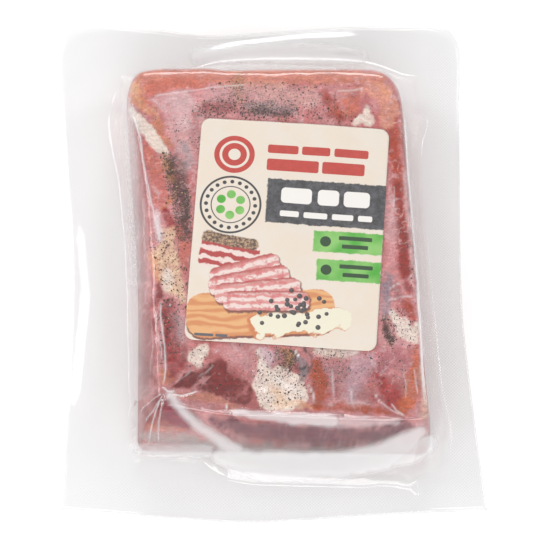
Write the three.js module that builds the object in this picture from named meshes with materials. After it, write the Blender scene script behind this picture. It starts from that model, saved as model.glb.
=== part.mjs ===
// A vacuum pack of cured pork fat, lying on its back with the labelled side up, in millimetres.
// +X runs to the right of the label, +Y towards its head, +Z up; the pack stands on z = 0.
//
// The pack is one closed solid: a block of meat under film that is drawn down over its walls, and
// the sealed flange round it. It is built on rays from the middle of the block. Each ray crosses
// four closed outlines: the brow of the block, the foot of its walls, the toe where the film
// reaches the flange, and the flange's own cut edge. The label is a thin plate curved to the top.
import * as THREE from 'three';

// Overall sizes
const BLOCK_HEIGHT = 38; // thickness of the meat at the brow
const CROWN = 1.4; // how much higher the middle of the block is than its brow
const FLANGE_THICKNESS = 0.8; // the two sealed webs
const FLANGE_CURL = { backLeft: 3.0, backRight: 2.2, reach: 55 }; // lift of the free back corners

// The film between the brow of the block and the toe
const WALL_ROUNDNESS = 2.4; // the higher, the squarer the brow
const TENT_FALL = 2.3; // the higher, the closer the bridging film hangs to the wall

// The label
const LABEL = {
  width: 80,
  height: 100,
  thickness: 0.3,
  cornerRadius: 4,
  gap: 0.35, // to the facets of the film
  centre: [8.5, 1.1],
  turn: THREE.MathUtils.degToRad(-3.9),
};

// Fineness of the faceted surfaces
const TOP_RINGS = 7; // from the middle of the block to its brow
const WALL_RINGS = 10; // from the brow to the toe
const FLANGE_RINGS = 2; // from the toe to the cut edge
const EDGE_STEPS = 4; // steps to each span of the cut edge
const RING_STEPS = 12; // steps to each curve of an inner outline
const LABEL_CELLS = [16, 20];
const LABEL_CORNER_CELLS = 3; // cells across the rounded corner

const MIDDLE = new THREE.Vector2(2, -2);

// Closed outlines of the block, each corner as [x, y, length of the rounding before and after it].
const BROW_CORNERS = [
  [-43, -70.5, 3],
  [-19, -77.2, 6],
  [53, -80.3, 5],
  [65.5, -79.5, 5],
  [55, 68, 15],
  [-57, 68, 11],
  [-47.5, 3, 20],
];
// Along the front the film stands off the meat, and its foot with it.
const FOOT_CORNERS = [
  [-55, -83, 6],
  [-36, -84.5, 9],
  [-16, -90, 12],
  [48, -90.5, 14],
  [69, -85, 8],
  [61.5, 20, 30],
  [58, 84, 16],
  [-63, 84, 13],
  [-55.5, -10, 30],
];
// The film clings to the wall at the front left, and hangs as a tent along the rest of the front.
const TOE_CORNERS = [
  [-63, -91, 10],
  [-38, -94, 14],
  [-14, -100, 14],
  [10, -101, 14],
  [52, -99, 14],
  [77, -94, 12],
  [74, 0, 30],
  [74, 98, 22],
  [-80, 98, 22],
  [-81, 40, 20],
  [-75, -15, 20],
  [-77, -80, 12],
];

// The cut edge of the flange: a waisted rectangle, square at the front and rounded at the back.
const FRONT_LEFT = [-86.8, -108.9];
const FRONT_EDGE = [[-38.5, -112.6], [-3.3, -114.3], [46.7, -111], [92.1, -108.9]];
const RIGHT_EDGE = [[86.8, -60.4], [83.4, -15.3], [83.6, 49.6], [84.6, 96]];
const BACK_RIGHT = { corner: [84.6, 113.2], end: [68, 113.2] };
const BACK_EDGE = [[40.8, 113.1], [5.3, 111], [-25, 109], [-50, 111.8], [-74.5, 114.3]];
const BACK_LEFT = { corner: [-92.6, 114.3], end: [-92.1, 98] };
const LEFT_EDGE = [[-87.7, 49.6], [-83.9, -6.1], [-84.9, -60.4], FRONT_LEFT];

function vectors(points) {
  return points.map(([x, y]) => new THREE.Vector2(x, y));
}

function cutEdge() {
  const path = new THREE.Path().moveTo(...FRONT_LEFT);
  path.splineThru(vectors(FRONT_EDGE)).splineThru(vectors(RIGHT_EDGE));
  path.quadraticCurveTo(...BACK_RIGHT.corner, ...BACK_RIGHT.end);
  path.splineThru(vectors(BACK_EDGE));
  path.quadraticCurveTo(...BACK_LEFT.corner, ...BACK_LEFT.end);
  path.splineThru(vectors(LEFT_EDGE));
  return path.getPoints(EDGE_STEPS).slice(1);
}

// A closed polygon with rounded corners.
function roundedOutline(corners) {
  const path = new THREE.Path();
  corners.forEach(([x, y, rounding], i) => {
    const corner = new THREE.Vector2(x, y);
    const [before, after] = [corners.at(i - 1), corners[(i + 1) % corners.length]].map(
      ([nx, ny]) => new THREE.Vector2(nx, ny).sub(corner).setLength(rounding).add(corner),
    );
    if (i === 0) path.moveTo(before.x, before.y);
    else path.lineTo(before.x, before.y);
    path.quadraticCurveTo(x, y, after.x, after.y);
  });
  return path.closePath().getPoints(RING_STEPS);
}

// How far the outline is from the middle of the block, along a direction.
function reach(outline, direction) {
  for (let i = 0; i < outline.length; i++) {
    const from = outline[i].clone().sub(MIDDLE);
    const along = outline[(i + 1) % outline.length].clone().sub(outline[i]);
    const across = direction.cross(along);
    if (Math.abs(across) < 1e-9) continue;
    const share = from.cross(direction) / across;
    const distance = from.cross(along) / across;
    if (distance > 0 && share >= 0 && share < 1) return distance;
  }
  throw new Error('an outline does not go round the middle of the block');
}

// Height of the top of the block: a shallow crown that falls to nothing at the brow.
function crownHeight(x, y) {
  const across = (x - MIDDLE.x) / 58;
  const along = (y - MIDDLE.y) / 74;
  return BLOCK_HEIGHT + CROWN * (1 - across * across) * (1 - along * along);
}

// Height of the film from the brow, at 0, to the toe, at 1. It follows the wall, or hangs clear
// of it where the wall stands further in than the film does.
function drapeHeight(share, wallShare, brow) {
  const onWall = Math.max(0, 1 - (share / wallShare) ** WALL_ROUNDNESS) ** 0.8;
  const hanging = (1 - share) ** TENT_FALL;
  return FLANGE_THICKNESS + (brow - FLANGE_THICKNESS) * Math.max(onWall, hanging);
}

// The flange's free corners at the back lift off the surface.
function curlHeight(x, y) {
  const lift = (cornerX, cornerY, most) => {
    const near = 1 - Math.hypot(x - cornerX, y - cornerY) / FLANGE_CURL.reach;
    return most * THREE.MathUtils.smoothstep(near, 0, 1);
  };
  const [left, right] = [BACK_LEFT.corner, BACK_RIGHT.corner];
  return lift(...left, FLANGE_CURL.backLeft) + lift(...right, FLANGE_CURL.backRight);
}

// The rays, each with its direction and its distances to the four outlines.
function castRays() {
  const [brow, foot, toe] = [BROW_CORNERS, FOOT_CORNERS, TOE_CORNERS].map(roundedOutline);
  return cutEdge().map((end) => {
    const direction = end.clone().sub(MIDDLE).normalize();
    return {
      direction,
      brow: reach(brow, direction),
      foot: reach(foot, direction),
      toe: reach(toe, direction),
      edge: end.distanceTo(MIDDLE),
    };
  });
}

// The rings of the solid from the middle of its top, over the edge, to the middle of its base.
// Each gives the distance along a ray, and the height there.
function packRings() {
  const rings = [];
  const place = (ray, distance) => ray.direction.clone().multiplyScalar(distance).add(MIDDLE);
  for (let i = 0; i <= TOP_RINGS; i++) {
    rings.push((ray) => {
      const at = place(ray, (ray.brow * i) / TOP_RINGS);
      return [at, crownHeight(at.x, at.y)];
    });
  }
  for (let i = 1; i <= WALL_RINGS; i++) {
    rings.push((ray) => {
      const share = (i / WALL_RINGS) ** 1.25; // closer together at the brow
      const at = place(ray, THREE.MathUtils.lerp(ray.brow, ray.toe, share));
      const top = place(ray, ray.brow);
      const wallShare = (ray.foot - ray.brow) / (ray.toe - ray.brow);
      return [at, drapeHeight(share, wallShare, crownHeight(top.x, top.y))];
    });
  }
  const flange = (i, lift) => (ray) => {
    const share = i / FLANGE_RINGS;
    const at = place(ray, THREE.MathUtils.lerp(ray.toe, ray.edge, share));
    return [at, curlHeight(at.x, at.y) * share + lift];
  };
  for (let i = 1; i <= FLANGE_RINGS; i++) rings.push(flange(i, FLANGE_THICKNESS));
  for (let i = FLANGE_RINGS; i > 0; i--) rings.push(flange(i, 0));
  rings.push((ray) => [place(ray, ray.toe), 0]);
  rings.push(() => [MIDDLE, 0]);
  return rings;
}

function packGeometry() {
  const rays = castRays();
  const rings = packRings();
  const profile = rings.map((_, i) => new THREE.Vector2(i && i < rings.length - 1 ? 1 : 0, -i));
  const geometry = new THREE.LatheGeometry(profile, rays.length);
  const position = geometry.getAttribute('position');
  for (let turn = 0; turn <= rays.length; turn++) {
    rings.forEach((ring, i) => {
      const [at, height] = ring(rays.at(-turn % rays.length));
      position.setXYZ(turn * rings.length + i, at.x, at.y, height);
    });
  }
  geometry.computeVertexNormals();
  return geometry;
}

// Grid lines across a side of the label: a few close together over each rounded corner.
function labelLine(index, cells, size) {
  const radius = LABEL.cornerRadius;
  const fromEnd = Math.min(index, cells - index);
  const flatCells = cells - 2 * LABEL_CORNER_CELLS;
  const fromEdge =
    fromEnd < LABEL_CORNER_CELLS
      ? (radius * fromEnd) / LABEL_CORNER_CELLS
      : radius + ((size - 2 * radius) * (fromEnd - LABEL_CORNER_CELLS)) / flatCells;
  return index * 2 < cells ? fromEdge - size / 2 : size / 2 - fromEdge;
}

// Turns the square corner of a grid into a round one.
function roundCorner(x, y) {
  const inner = new THREE.Vector2(
    Math.max(0, Math.abs(x) - LABEL.width / 2 + LABEL.cornerRadius),
    Math.max(0, Math.abs(y) - LABEL.height / 2 + LABEL.cornerRadius),
  );
  const length = inner.length();
  const pull = length ? Math.max(inner.x, inner.y) / length - 1 : 0;
  return new THREE.Vector2(x + Math.sign(x) * inner.x * pull, y + Math.sign(y) * inner.y * pull);
}

function labelGeometry() {
  const { width, height, thickness, gap, centre, turn } = LABEL;
  const [across, along] = LABEL_CELLS;
  const geometry = new THREE.BoxGeometry(width, height, thickness, across, along, 1);
  const position = geometry.getAttribute('position');
  for (let i = 0; i < position.count; i++) {
    const column = Math.round((position.getX(i) / width + 0.5) * across);
    const row = Math.round((position.getY(i) / height + 0.5) * along);
    const at = roundCorner(labelLine(column, across, width), labelLine(row, along, height));
    at.rotateAround(new THREE.Vector2(), turn).add(new THREE.Vector2(...centre));
    const underside = crownHeight(at.x, at.y) + gap;
    position.setXYZ(i, at.x, at.y, underside + position.getZ(i) + thickness / 2);
  }
  geometry.computeVertexNormals();
  return geometry;
}

function makePart() {
  const film = new THREE.Mesh(
    packGeometry(),
    new THREE.MeshStandardMaterial({ color: 0xc98a86, roughness: 0.18, metalness: 0 }),
  );
  film.name = 'vacuum_pack';
  const label = new THREE.Mesh(
    labelGeometry(),
    new THREE.MeshStandardMaterial({ color: 0xefe6d8, roughness: 0.5, metalness: 0 }),
  );
  label.name = 'label';
  const group = new THREE.Group().add(film, label);

  // The origin is the middle of the pack's base.
  const box = new THREE.Box3().setFromObject(group);
  const middle = box.getCenter(new THREE.Vector3());
  group.position.set(-middle.x, -middle.y, -box.min.z);
  return group;
}

export default makePart();
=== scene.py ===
"""A vacuum pack of cured, peppered pork: the slab, its spice, the film drawn down on it and the label.

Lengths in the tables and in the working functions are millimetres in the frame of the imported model:
+X to the right of the label, +Y towards its head, +Z up from the surface that the pack lies on.
"""

import functools
import math

import bmesh
import bpy
import numpy as np
from bpy.props import FloatProperty, FloatVectorProperty, IntProperty, PointerProperty
from mathutils import Euler, Matrix, Vector


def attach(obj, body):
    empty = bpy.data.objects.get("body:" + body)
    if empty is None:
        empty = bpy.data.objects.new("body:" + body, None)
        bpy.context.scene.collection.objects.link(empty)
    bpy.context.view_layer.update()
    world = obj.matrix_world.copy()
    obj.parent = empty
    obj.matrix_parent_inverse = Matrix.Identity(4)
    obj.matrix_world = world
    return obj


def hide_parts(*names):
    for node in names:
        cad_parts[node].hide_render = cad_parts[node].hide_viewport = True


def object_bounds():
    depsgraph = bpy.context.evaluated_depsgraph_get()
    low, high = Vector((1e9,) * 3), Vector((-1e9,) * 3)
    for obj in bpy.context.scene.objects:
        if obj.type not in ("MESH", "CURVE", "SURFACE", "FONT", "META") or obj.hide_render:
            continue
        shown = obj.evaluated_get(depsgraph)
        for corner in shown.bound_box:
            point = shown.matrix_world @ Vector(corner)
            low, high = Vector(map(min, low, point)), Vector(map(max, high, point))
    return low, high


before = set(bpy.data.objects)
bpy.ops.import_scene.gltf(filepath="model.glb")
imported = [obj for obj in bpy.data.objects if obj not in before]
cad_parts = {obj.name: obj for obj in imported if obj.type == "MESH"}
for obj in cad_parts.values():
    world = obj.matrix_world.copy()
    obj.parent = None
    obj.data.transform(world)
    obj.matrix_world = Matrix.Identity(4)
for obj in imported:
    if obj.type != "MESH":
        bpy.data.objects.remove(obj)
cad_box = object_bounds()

bl_info = {
    "name": "Vacuum Pack of Cured Pork",
    "version": (1, 0, 0),
    "blender": (4, 5, 0),
    "location": "View3D > Sidebar > Pork Pack",
    "description": "Builds the slab, the spice, the film and the label of a vacuum pack",
    "category": "Object",
}

MM = 0.001  # a millimetre in Blender's metres
BODY = "root"

# ---------------------------------------------------------------------------------------------
# The pack's outlines. Each corner is x, y and the length of the rounding before and after it.

BROW = (
    (-43, -70.5, 3),
    (-19, -77.2, 6),
    (53, -80.3, 5),
    (65.5, -79.5, 5),
    (55, 68, 15),
    (-57, 68, 11),
    (-47.5, 3, 20),
)
FOOT = (
    (-55, -83, 5),
    (69, -84.5, 6),
    (61.5, 20, 30),
    (58, 84, 16),
    (-63, 84, 13),
    (-55.5, -10, 30),
)

# The cut edge of the flange, side by side from the front left corner, anticlockwise.
FRONT_EDGE = ((-86.8, -108.9), (-38.5, -112.6), (-3.3, -114.3), (46.7, -111), (92.1, -108.9))
RIGHT_EDGE = ((92.1, -108.9), (86.8, -60.4), (83.4, -15.3), (83.6, 49.6), (84.6, 98))
BACK_RIGHT_CORNER = (84.6, 113.2)
BACK_EDGE = ((70, 113.4), (40.8, 113.1), (5.3, 111), (-25, 109), (-50, 111.8), (-76, 114.3))
BACK_LEFT_CORNER = (-92.4, 114.3)
LEFT_EDGE = ((-92.1, 98), (-87.7, 49.6), (-83.9, -6.1), (-84.9, -60.4), (-86.8, -108.9))

# ---------------------------------------------------------------------------------------------
# What is seen on the slab. Each stroke is a colour, the softness of its edge, how strong it is,
# and its course: x, y and half its width. Heights count as seen by the camera: a spot on the
# front wall is named by where it shows on a level with the top. Later strokes lie over earlier.

LEVEL = 38.5  # the height of the top
TILT = 0.364  # how much nearer to the front a spot shows for each millimetre that it lies lower

STROKES = (
    # walls
    ("wall_pink", 4, 0.9, ((-55, 60, 2), (-55, 30, 3.4), (-54, 0, 3.4), (-53, -20, 3.4), (-52, -66, 3.6))),
    ("wall_red", 3, 0.8, ((-50.5, -32, 2.4), (-50.5, -50, 3), (-50.5, -64, 3))),
    ("wall_red", 3, 0.9, ((-46, -75, 4), (-42, -79, 5), (-34, -81, 5))),
    ("wall_red", 2, 0.8, ((-51, -78, 2.4), (-49, -83, 3))),
    ("wall_mauve", 3, 0.9, ((-39, -77, 3.5), (-35, -82, 4))),
    # the front wall: partly the lean's own red, partly painted shade where the tent of film shades it
    ("front_wall_in_shade", 2.4, 1.0, ((-22, -82, 2.4), (-12, -85, 3.6), (0, -87, 4.4), (20, -88.6, 4.8))),
    ("front_wall_in_shade", 2.4, 1.0, ((20, -88.6, 4.8), (34, -89.4, 4.8), (48, -87.4, 4.4), (57, -84.6, 3))),
    ("wall_grey", 2.6, 0.9,
     ((-52, -89, 2.4), (-40, -91, 3), (-26, -94, 3), (0, -96.4, 2.2), (34, -97.4, 2))),
    ("wall_grey", 2.6, 0.9, ((34, -97.4, 2), (56, -95, 2.4), (68, -91.6, 2.6))),
    ("browned", 1.6, 0.5, ((-49, -85, 1.6), (-42, -86, 1.2), (-35, -86, 0.8))),
    # back left
    ("band", 1.6, 0.95,
     ((-54, 73, 3.4), (-35, 73, 4.4), (-12, 74, 4), (8, 73.5, 3.6), (26, 73, 3.6), (48, 72, 3))),
    ("salmon", 2.2, 0.9, ((-50, 68, 3), (-40, 69.5, 3.4), (-28, 70, 2.6))),
    # this mauve and the next lie under the film's sheen: partly the lean's tone, partly painted sheen
    ("mauve", 1.6, 0.95,
     ((-47, 62, 2.4), (-41, 60, 5), (-33, 61, 5.4), (-25, 64.5, 3.4), (-18, 66.5, 1.6))),
    ("mauve", 2.2, 0.95, ((-39, 55, 6.5), (-37, 47, 7), (-35, 41, 5))),
    ("pale", 3.5, 0.5, ((-36, 52, 3), (-38, 60, 3))),
    ("pale", 2.0, 0.4, ((-43, 63, 1), (-36, 64, 2), (-31, 60, 1.6))),
    ("lean_red", 2.6, 0.35, ((-31, 56, 1.6), (-32, 48, 2), (-31, 40, 1.4))),
    ("browned", 1.6, 0.8, ((-49, 57, 2), (-46.5, 50, 1.8), (-45, 45, 2), (-42, 41, 1.2))),
    ("orange", 2.6, 0.9, ((-56.5, 69, 2.2), (-56, 63, 2.8), (-53.5, 59.5, 2.6), (-50.5, 56, 1.4))),
    ("bright_orange", 2.0, 0.45, ((-55.5, 62, 1.6), (-52, 60.5, 1.2))),
    ("cream", 1.6, 0.5, ((-57, 67, 0.8), (-55, 60, 1.0))),
    ("fat", 0.7, 1.0,
     ((-59.5, 58.5, 0.6), (-56, 54, 2.2), (-52, 48.5, 3.0), (-48, 43, 3.0), (-43.5, 38, 1.6))),
    # left
    ("salmon", 1.5, 0.9, ((-52, 40, 1.2), (-49, 34, 2.6), (-46.5, 26, 3.6), (-45, 18, 4))),
    ("lean", 1.5, 0.7, ((-46, 26, 2), (-45, 16, 2.4))),
    ("pale", 0.8, 0.6, ((-48.5, 22, 0.9), (-46.5, 19.5, 1))),
    ("browned", 1.0, 0.9, ((-39.5, 18.5, 0.9), (-41.5, 15, 0.9), (-44.5, 11.5, 0.6))),
    ("lean_red", 1.2, 0.9, ((-42.5, 10, 2), (-41, 5.5, 2.4), (-38, 2, 1.2))),
    ("cream", 1.8, 0.9,
     ((-45, 2, 2), (-41, 0, 3), (-43, -8, 5), (-41.5, -15, 6), (-39.5, -22, 4.6), (-36, -28, 1.6))),
    ("salmon", 2.0, 0.8, ((-36.5, 2, 1.8), (-35.6, -6, 2), (-35, -12, 1.6))),
    ("fat", 1.5, 0.9, ((-42, -16, 2), (-41.5, -23, 2))),
    ("orange", 1.6, 0.8, ((-48.5, -8, 1), (-47, -14, 1.8), (-46.3, -19, 1.4))),
    ("pale", 0.9, 0.9, ((-46.8, 11, 0.9), (-46.4, 5, 1.5), (-45.5, -1, 1.2))),
    ("deep", 1.2, 0.9, ((-46, -21, 0.7), (-45, -26, 1.8), (-46, -30, 1.4))),
    ("purple", 1.6, 0.85, ((-42, -30, 2.4), (-40.5, -36, 3.4), (-40.5, -44, 3), (-37, -49, 2))),
    ("lean_red", 1.6, 0.85,
     ((-43, -33, 1.6), (-42, -44, 1.4), (-40, -52, 3.4), (-38, -58, 4), (-40, -62, 2))),
    ("grey", 1.2, 0.6, ((-37, -37, 1.4), (-36.4, -45, 1.6))),
    ("deep", 1.4, 0.6, ((-35, -50, 1.4), (-34, -56, 1.2))),
    # front left
    ("deep", 1.4, 1.0, ((-26, -60, 2.4), (-20, -58, 3), (-21, -64, 4.4), (-15, -67, 4.8), (-11, -66, 3))),
    ("lean_red", 2.0, 0.5, ((-22, -61, 2), (-14, -64, 3))),
    ("deep", 1.2, 0.9, ((-28.6, -66.4, 1.2), (-25, -67.4, 2), (-20, -68.4, 2.2))),
    ("mauve", 1.6, 0.9, ((-21.5, -50.8, 1.4), (-15, -52, 3.4), (-10, -55.5, 3.6), (-6, -60, 1.6))),
    ("fat", 0.7, 1.0, ((-27, -50, 2.4), (-29.5, -54, 3.6), (-28.5, -57.5, 1.4))),
    ("browned", 1.6, 0.8, ((-43, -60, 1.2), (-42, -65, 1.6), (-39, -64, 0.8))),
    ("blood", 0.9, 1.0, ((-38.5, -66.6, 1.2), (-33.5, -64.9, 3.2), (-30.5, -62.5, 2.8), (-28, -61.5, 1.6))),
    ("blood", 1.2, 0.8, ((-15, -72.6, 1.4), (-11, -72.4, 2.4), (-8, -71, 2), (-7, -68, 1.2))),
    ("pink", 0.8, 0.9,
     ((-40, -69.6, 0.5), (-33, -70.8, 1.2), (-26, -71, 2), (-20, -73.2, 1.4), (-13, -75.8, 0.8))),
    # front middle
    ("fat", 0.7, 1.0,
     ((-4, -51, 1.2), (-1, -54, 3), (-2, -59, 2.4), (-1, -66, 5.4), (2, -72, 5.6), (8, -73, 4.6))),
    ("fat", 0.9, 1.0, ((5, -62, 5), (10, -66, 5), (13, -70, 4))),
    # lilac: partly the lean's cold tone, partly painted sheen of the film
    ("lilac", 1.8, 0.8, ((-1, -51, 2.4), (1.5, -53, 2.6), (0.5, -57, 1.4))),
    ("cream", 1.8, 0.8, ((1, -67, 1.6), (5, -70, 2.2), (4, -74, 1.8), (13, -74.6, 1.4))),
    ("white", 1.2, 0.7, ((3, -63, 0.8), (7, -66, 1.2), (13, -69, 0.8))),
    ("spice_tan", 1.6, 0.9, ((6, -51, 1.8), (9.5, -53, 2.6), (8.5, -57, 1.8))),
    ("grey", 0.9, 0.9, ((12.5, -55, 1.2), (15, -56, 1.8), (15.4, -60, 2), (14, -63.5, 1))),
    ("dark", 0.6, 0.9, ((11.8, -58.8, 0.35), (14.5, -58.6, 0.45), (16.4, -57.4, 0.3))),
    ("dark", 0.9, 0.8, ((15, -50.6, 0.7), (18.4, -53.4, 0.7), (18.2, -58, 0.5), (17, -61, 0.3))),
    ("pink", 0.8, 0.8, ((16.5, -66, 0.5), (18.4, -69.5, 0.7), (19.4, -73.5, 0.6))),
    ("orange", 1.0, 0.8, ((12.5, -73, 0.8), (16, -75, 1.2), (19, -76, 0.8))),
    # front right
    ("lean_red", 2.4, 0.55, ((26, -70, 2), (38, -70, 2.6), (46, -72, 2))),
    ("mauve_red", 2.4, 0.8,
     ((27, -60, 4), (36, -59, 6), (35, -66, 4), (46, -57, 6), (52, -53, 4.4), (57, -56, 2))),
    # lilac: partly the lean's cold tone, partly painted sheen of the film
    ("lilac", 2.4, 0.6, ((37, -54, 2.4), (36, -62, 3), (34, -72, 2), (42, -54, 2.6))),
    ("fat", 1.2, 0.85, ((20, -51, 1), (24, -52, 2), (31, -52, 2), (36, -51.6, 1.2))),
    ("browned_red", 1.4, 1.0, ((20.5, -56, 1.8), (21, -62, 3), (22, -69, 3), (21, -74, 2.2))),
    ("browned_red", 1.4, 0.8, ((20, -76, 1.2), (30, -75.6, 1.8), (40, -76.4, 1.6), (50, -78.4, 1.2))),
    ("blood_soft", 2.4, 0.85, ((45.5, -62, 2), (49, -67, 3.6), (53, -73, 3), (56, -77, 1.4))),
    ("bright_orange", 2.0, 0.85,
     ((61, -52, 1), (60.8, -60, 1.8), (59.5, -67, 2.8), (58.5, -73, 3.4), (56, -78, 1.8))),
    ("pink", 1.4, 0.5, ((58, -63, 1), (59, -70, 1.2))),
    ("cream", 1.6, 0.6, ((63.6, -58, 0.8), (64.8, -70, 1.2), (65.2, -79, 1.4))),
    # right
    ("strip", 1.6, 0.95,
     ((53, 54, 2.6), (54, 40, 2.6), (55.2, 25, 3), (56.6, 10, 3), (57.4, -4, 3), (58.4, -16, 3))),
    ("strip_dark", 1.6, 0.7, ((55, 22, 1.4), (57, -6, 2.2), (57.5, -14, 2.6), (59.5, -24, 1.8))),
    # mauve here: partly the lean's tone, partly painted sheen of the film
    ("mauve", 1.4, 0.9, ((51.8, 20, 0.8), (52.2, 8, 1.6), (52.2, -4, 1.8), (51.6, -14, 1.4))),
    # painted highlight: the thin pale line along the right brow
    ("pale", 1.4, 0.7, ((58.4, 30, 0.8), (59.4, 10, 1), (60.6, -10, 1), (61.6, -28, 0.8))),
    ("fat", 0.9, 1.0, ((51.5, -34.5, 1.4), (54.5, -38, 3), (58, -42.5, 4), (61, -46, 2.4), (62, -40, 1.6))),
    # lilac dark: partly the lean's cold tone, partly painted sheen of the film
    ("lilac_dark", 1.6, 0.9, ((50, -17, 1.2), (50.2, -24, 2), (49.4, -31, 1.6), (49, -36, 1))),
    ("purple", 1.6, 0.7, ((53.5, -23, 1.6), (54.5, -27, 2))),
    ("strip", 0.9, 0.9, ((58, -30, 1.8), (59.5, -34, 1.5), (61.3, -38, 0.6))),
    ("charcoal", 1.0, 0.9, ((49, -38, 0.7), (49.8, -41.5, 1.5), (51, -46, 1.4), (51.6, -48.5, 0.6))),
    # back right
    # lilac red: partly the lean's tone, partly painted sheen of the film
    ("lilac_red", 2.4, 0.9, ((-9, 66, 2), (0, 65, 4), (10, 64, 4.6), (18, 62, 4.6))),
    ("red_brown", 1.8, 0.85, ((24, 65, 1.8), (26, 61, 3), (28.5, 57, 3.4), (31, 53, 2))),
    ("salmon", 1.6, 0.9, ((33, 62.5, 2.6), (37, 61, 2.6), (35, 56, 2.4))),
    ("marbled", 1.8, 0.95, ((44, 68, 2.6), (49, 65, 4), (51.5, 58, 4), (51, 52, 3))),
    ("pink", 0.9, 0.8, ((29.5, 66.4, 0.8), (35, 66.4, 1.2), (40, 67.4, 1), (40.6, 64.6, 0.8))),
    ("orange", 1.6, 0.5, ((48, 69.5, 1.4), (52.5, 64.5, 1.2))),
    ("fat", 0.7, 1.0, ((37, 51.5, 1.2), (40.5, 54, 2.2), (43, 52, 2.4), (42.5, 58.5, 0.8))),
    ("pink", 0.8, 0.9, ((17.2, 67.4, 0.9), (19.4, 67.2, 0.9))),
    ("purple", 2.0, 0.6, ((-26, 58.5, 2), (-20, 59.5, 3.4), (-15, 58, 2.4))),
    ("grey", 1.8, 0.75, ((-10, 59.6, 1.4), (-5, 58, 2.4), (3, 57, 2.8), (10, 56.4, 2))),
    ("charcoal", 1.6, 0.55, ((-8, 56.6, 1), (0, 56, 1.4), (8, 56, 1.4))),
    ("marbled", 1.8, 0.7, ((-20, 68, 1.2), (-14, 69, 1.8), (-6, 69.6, 1.8), (6, 69.4, 1.2))),
    ("bright_orange", 1.8, 0.25, ((27, 58, 1.6), (33, 57, 1.6), (38, 59, 1.2))),
    ("spice_tan", 1.8, 0.45, ((-12.5, 73, 2), (-14, 68.5, 2), (-13.4, 65, 2), (-12, 62, 1.4))),
    # the spiced fold
    ("grey", 2.0, 0.8, ((-35.5, 39, 2), (-34, 33, 2.2))),
    ("spice_tan", 1.0, 1.0, ((-44, 36.5, 1.2), (-41.5, 31, 2), (-39.8, 25, 1.4))),
    ("spice", 1.8, 0.75,
     ((-40, 35, 1.4), (-38.6, 29, 2.2), (-37.4, 22, 2.6), (-36, 14, 2.4), (-35, 6, 2), (-34.6, 0, 1))),
    ("dark", 1.6, 0.5, ((-36.5, 33, 0.8), (-35.6, 26, 1.2), (-34.6, 18, 1.4), (-34, 9, 1.2))),
    # a fleck at the front left corner
    ("dark", 0.6, 0.9, ((-40.2, -68.7, 0.4), (-39, -68.6, 0.35))),
)

# Where pepper lies: the softness of the edge, how thick the grains lie, and the course.
PEPPER = (
    (3, 1.0, ((-43, 36, 1), (-39.5, 28, 3), (-37.5, 20, 3.2), (-36, 10, 3), (-35, 0, 2))),
    (4, 0.8, ((-26, 58, 2.5), (-20, 60, 3.5), (-14, 64, 3), (-13, 71, 2))),
    (4, 0.9, ((-10, 58, 2.5), (0, 58, 3), (9, 57, 3))),
    (4, 0.35, ((-20, 66, 3), (10, 64, 5), (24, 62, 4))),
    (3, 0.5, ((20, 56, 2), (28, 56, 3), (33, 54, 2))),
    (4, 0.4, ((-44, -2, 3), (-42, -12, 5), (-38, -22, 4), (-36, -30, 2))),
    (4, 0.3, ((-36, 48, 4), (-33, 42, 3))),
    (3, 0.6, ((-42, -32, 3), (-40, -42, 3), (-37, -50, 2))),
    (1.5, 0.7, ((-44, -44, 0.8), (-43.6, -56, 0.8))),
    (3, 0.3, ((-28, -53, 3),)),
    (5, 0.16, ((-26, -62, 4), (-15, -64, 6))),
    (3, 1.0, ((5, -52, 1.4), (9, -54, 2.4), (8, -58, 2))),
    (5, 0.42, ((-1, -56, 3), (2, -66, 6), (10, -68, 5))),
    (3, 0.5, ((21, -52, 2), (31, -54, 2.5))),
    (4, 0.45, ((20, -58, 2), (24, -62, 3), (30, -60, 3))),
    (6, 0.12, ((36, -60, 6), (50, -60, 6))),
    (2, 0.9, ((49, -37, 1.2), (50.5, -42, 2), (51, -47, 1.4))),
    (3, 0.4, ((54, -36, 3), (58, -42, 3), (59, -48, 2))),
    (3, 0.12, ((57, 0, 2), (58, -20, 2))),
)

# Folds in the slab: depth, half width, course.
GROOVES = (
    (0.7, 3.6, ((-45, 37), (-40, 28), (-37, 18), (-35, 6), (-34, -4))),
    (0.8, 2.0, ((-57, 50), (-50, 40), (-45, 33))),
    (0.9, 1.6, ((10.5, -50), (15, -54), (17.6, -57), (16.4, -61), (13, -65))),
    (0.4, 2.2, ((50, -34), (50, -41), (51.5, -48))),
    (0.7, 1.4, ((-6, -52), (-7, -60), (-5.5, -70))),
    (0.8, 2.6, ((-42, -30), (-38, -38), (-36, -48))),
    (0.7, 2.2, ((24, 65), (30, 60), (38, 57))),
)
# Swellings of it: height, half width, course.
SWELLS = (
    (0.7, 5, ((-52, 49), (-46, 41))),
    (0.7, 5, ((-42, -10), (-40, -20))),
    (0.9, 7, ((0, -64), (8, -70))),
    (0.6, 4, ((-29, -54),)),
    (0.6, 5, ((57, -42),)),
    (0.5, 6, ((-36, 54),)),
)

# ---------------------------------------------------------------------------------------------
# What the film does. It hangs between the slab and the flange as tight as it was drawn down
# there: the larger the number, the closer it keeps to the wall. x, y, reach, tightness.

LOOSEST = 0.32  # the tightness far from all of these
TIGHTNESS = (
    (-52, -86, 20, 3.2),
    (-60, 0, 60, 0.95),
    (-64, 78, 26, 0.6),
    (66, 10, 62, 0.9),
    (72, -84, 12, 0.5),
    (22, 96, 46, 0.16),
    (30, -98, 40, 0.3),
)

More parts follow.
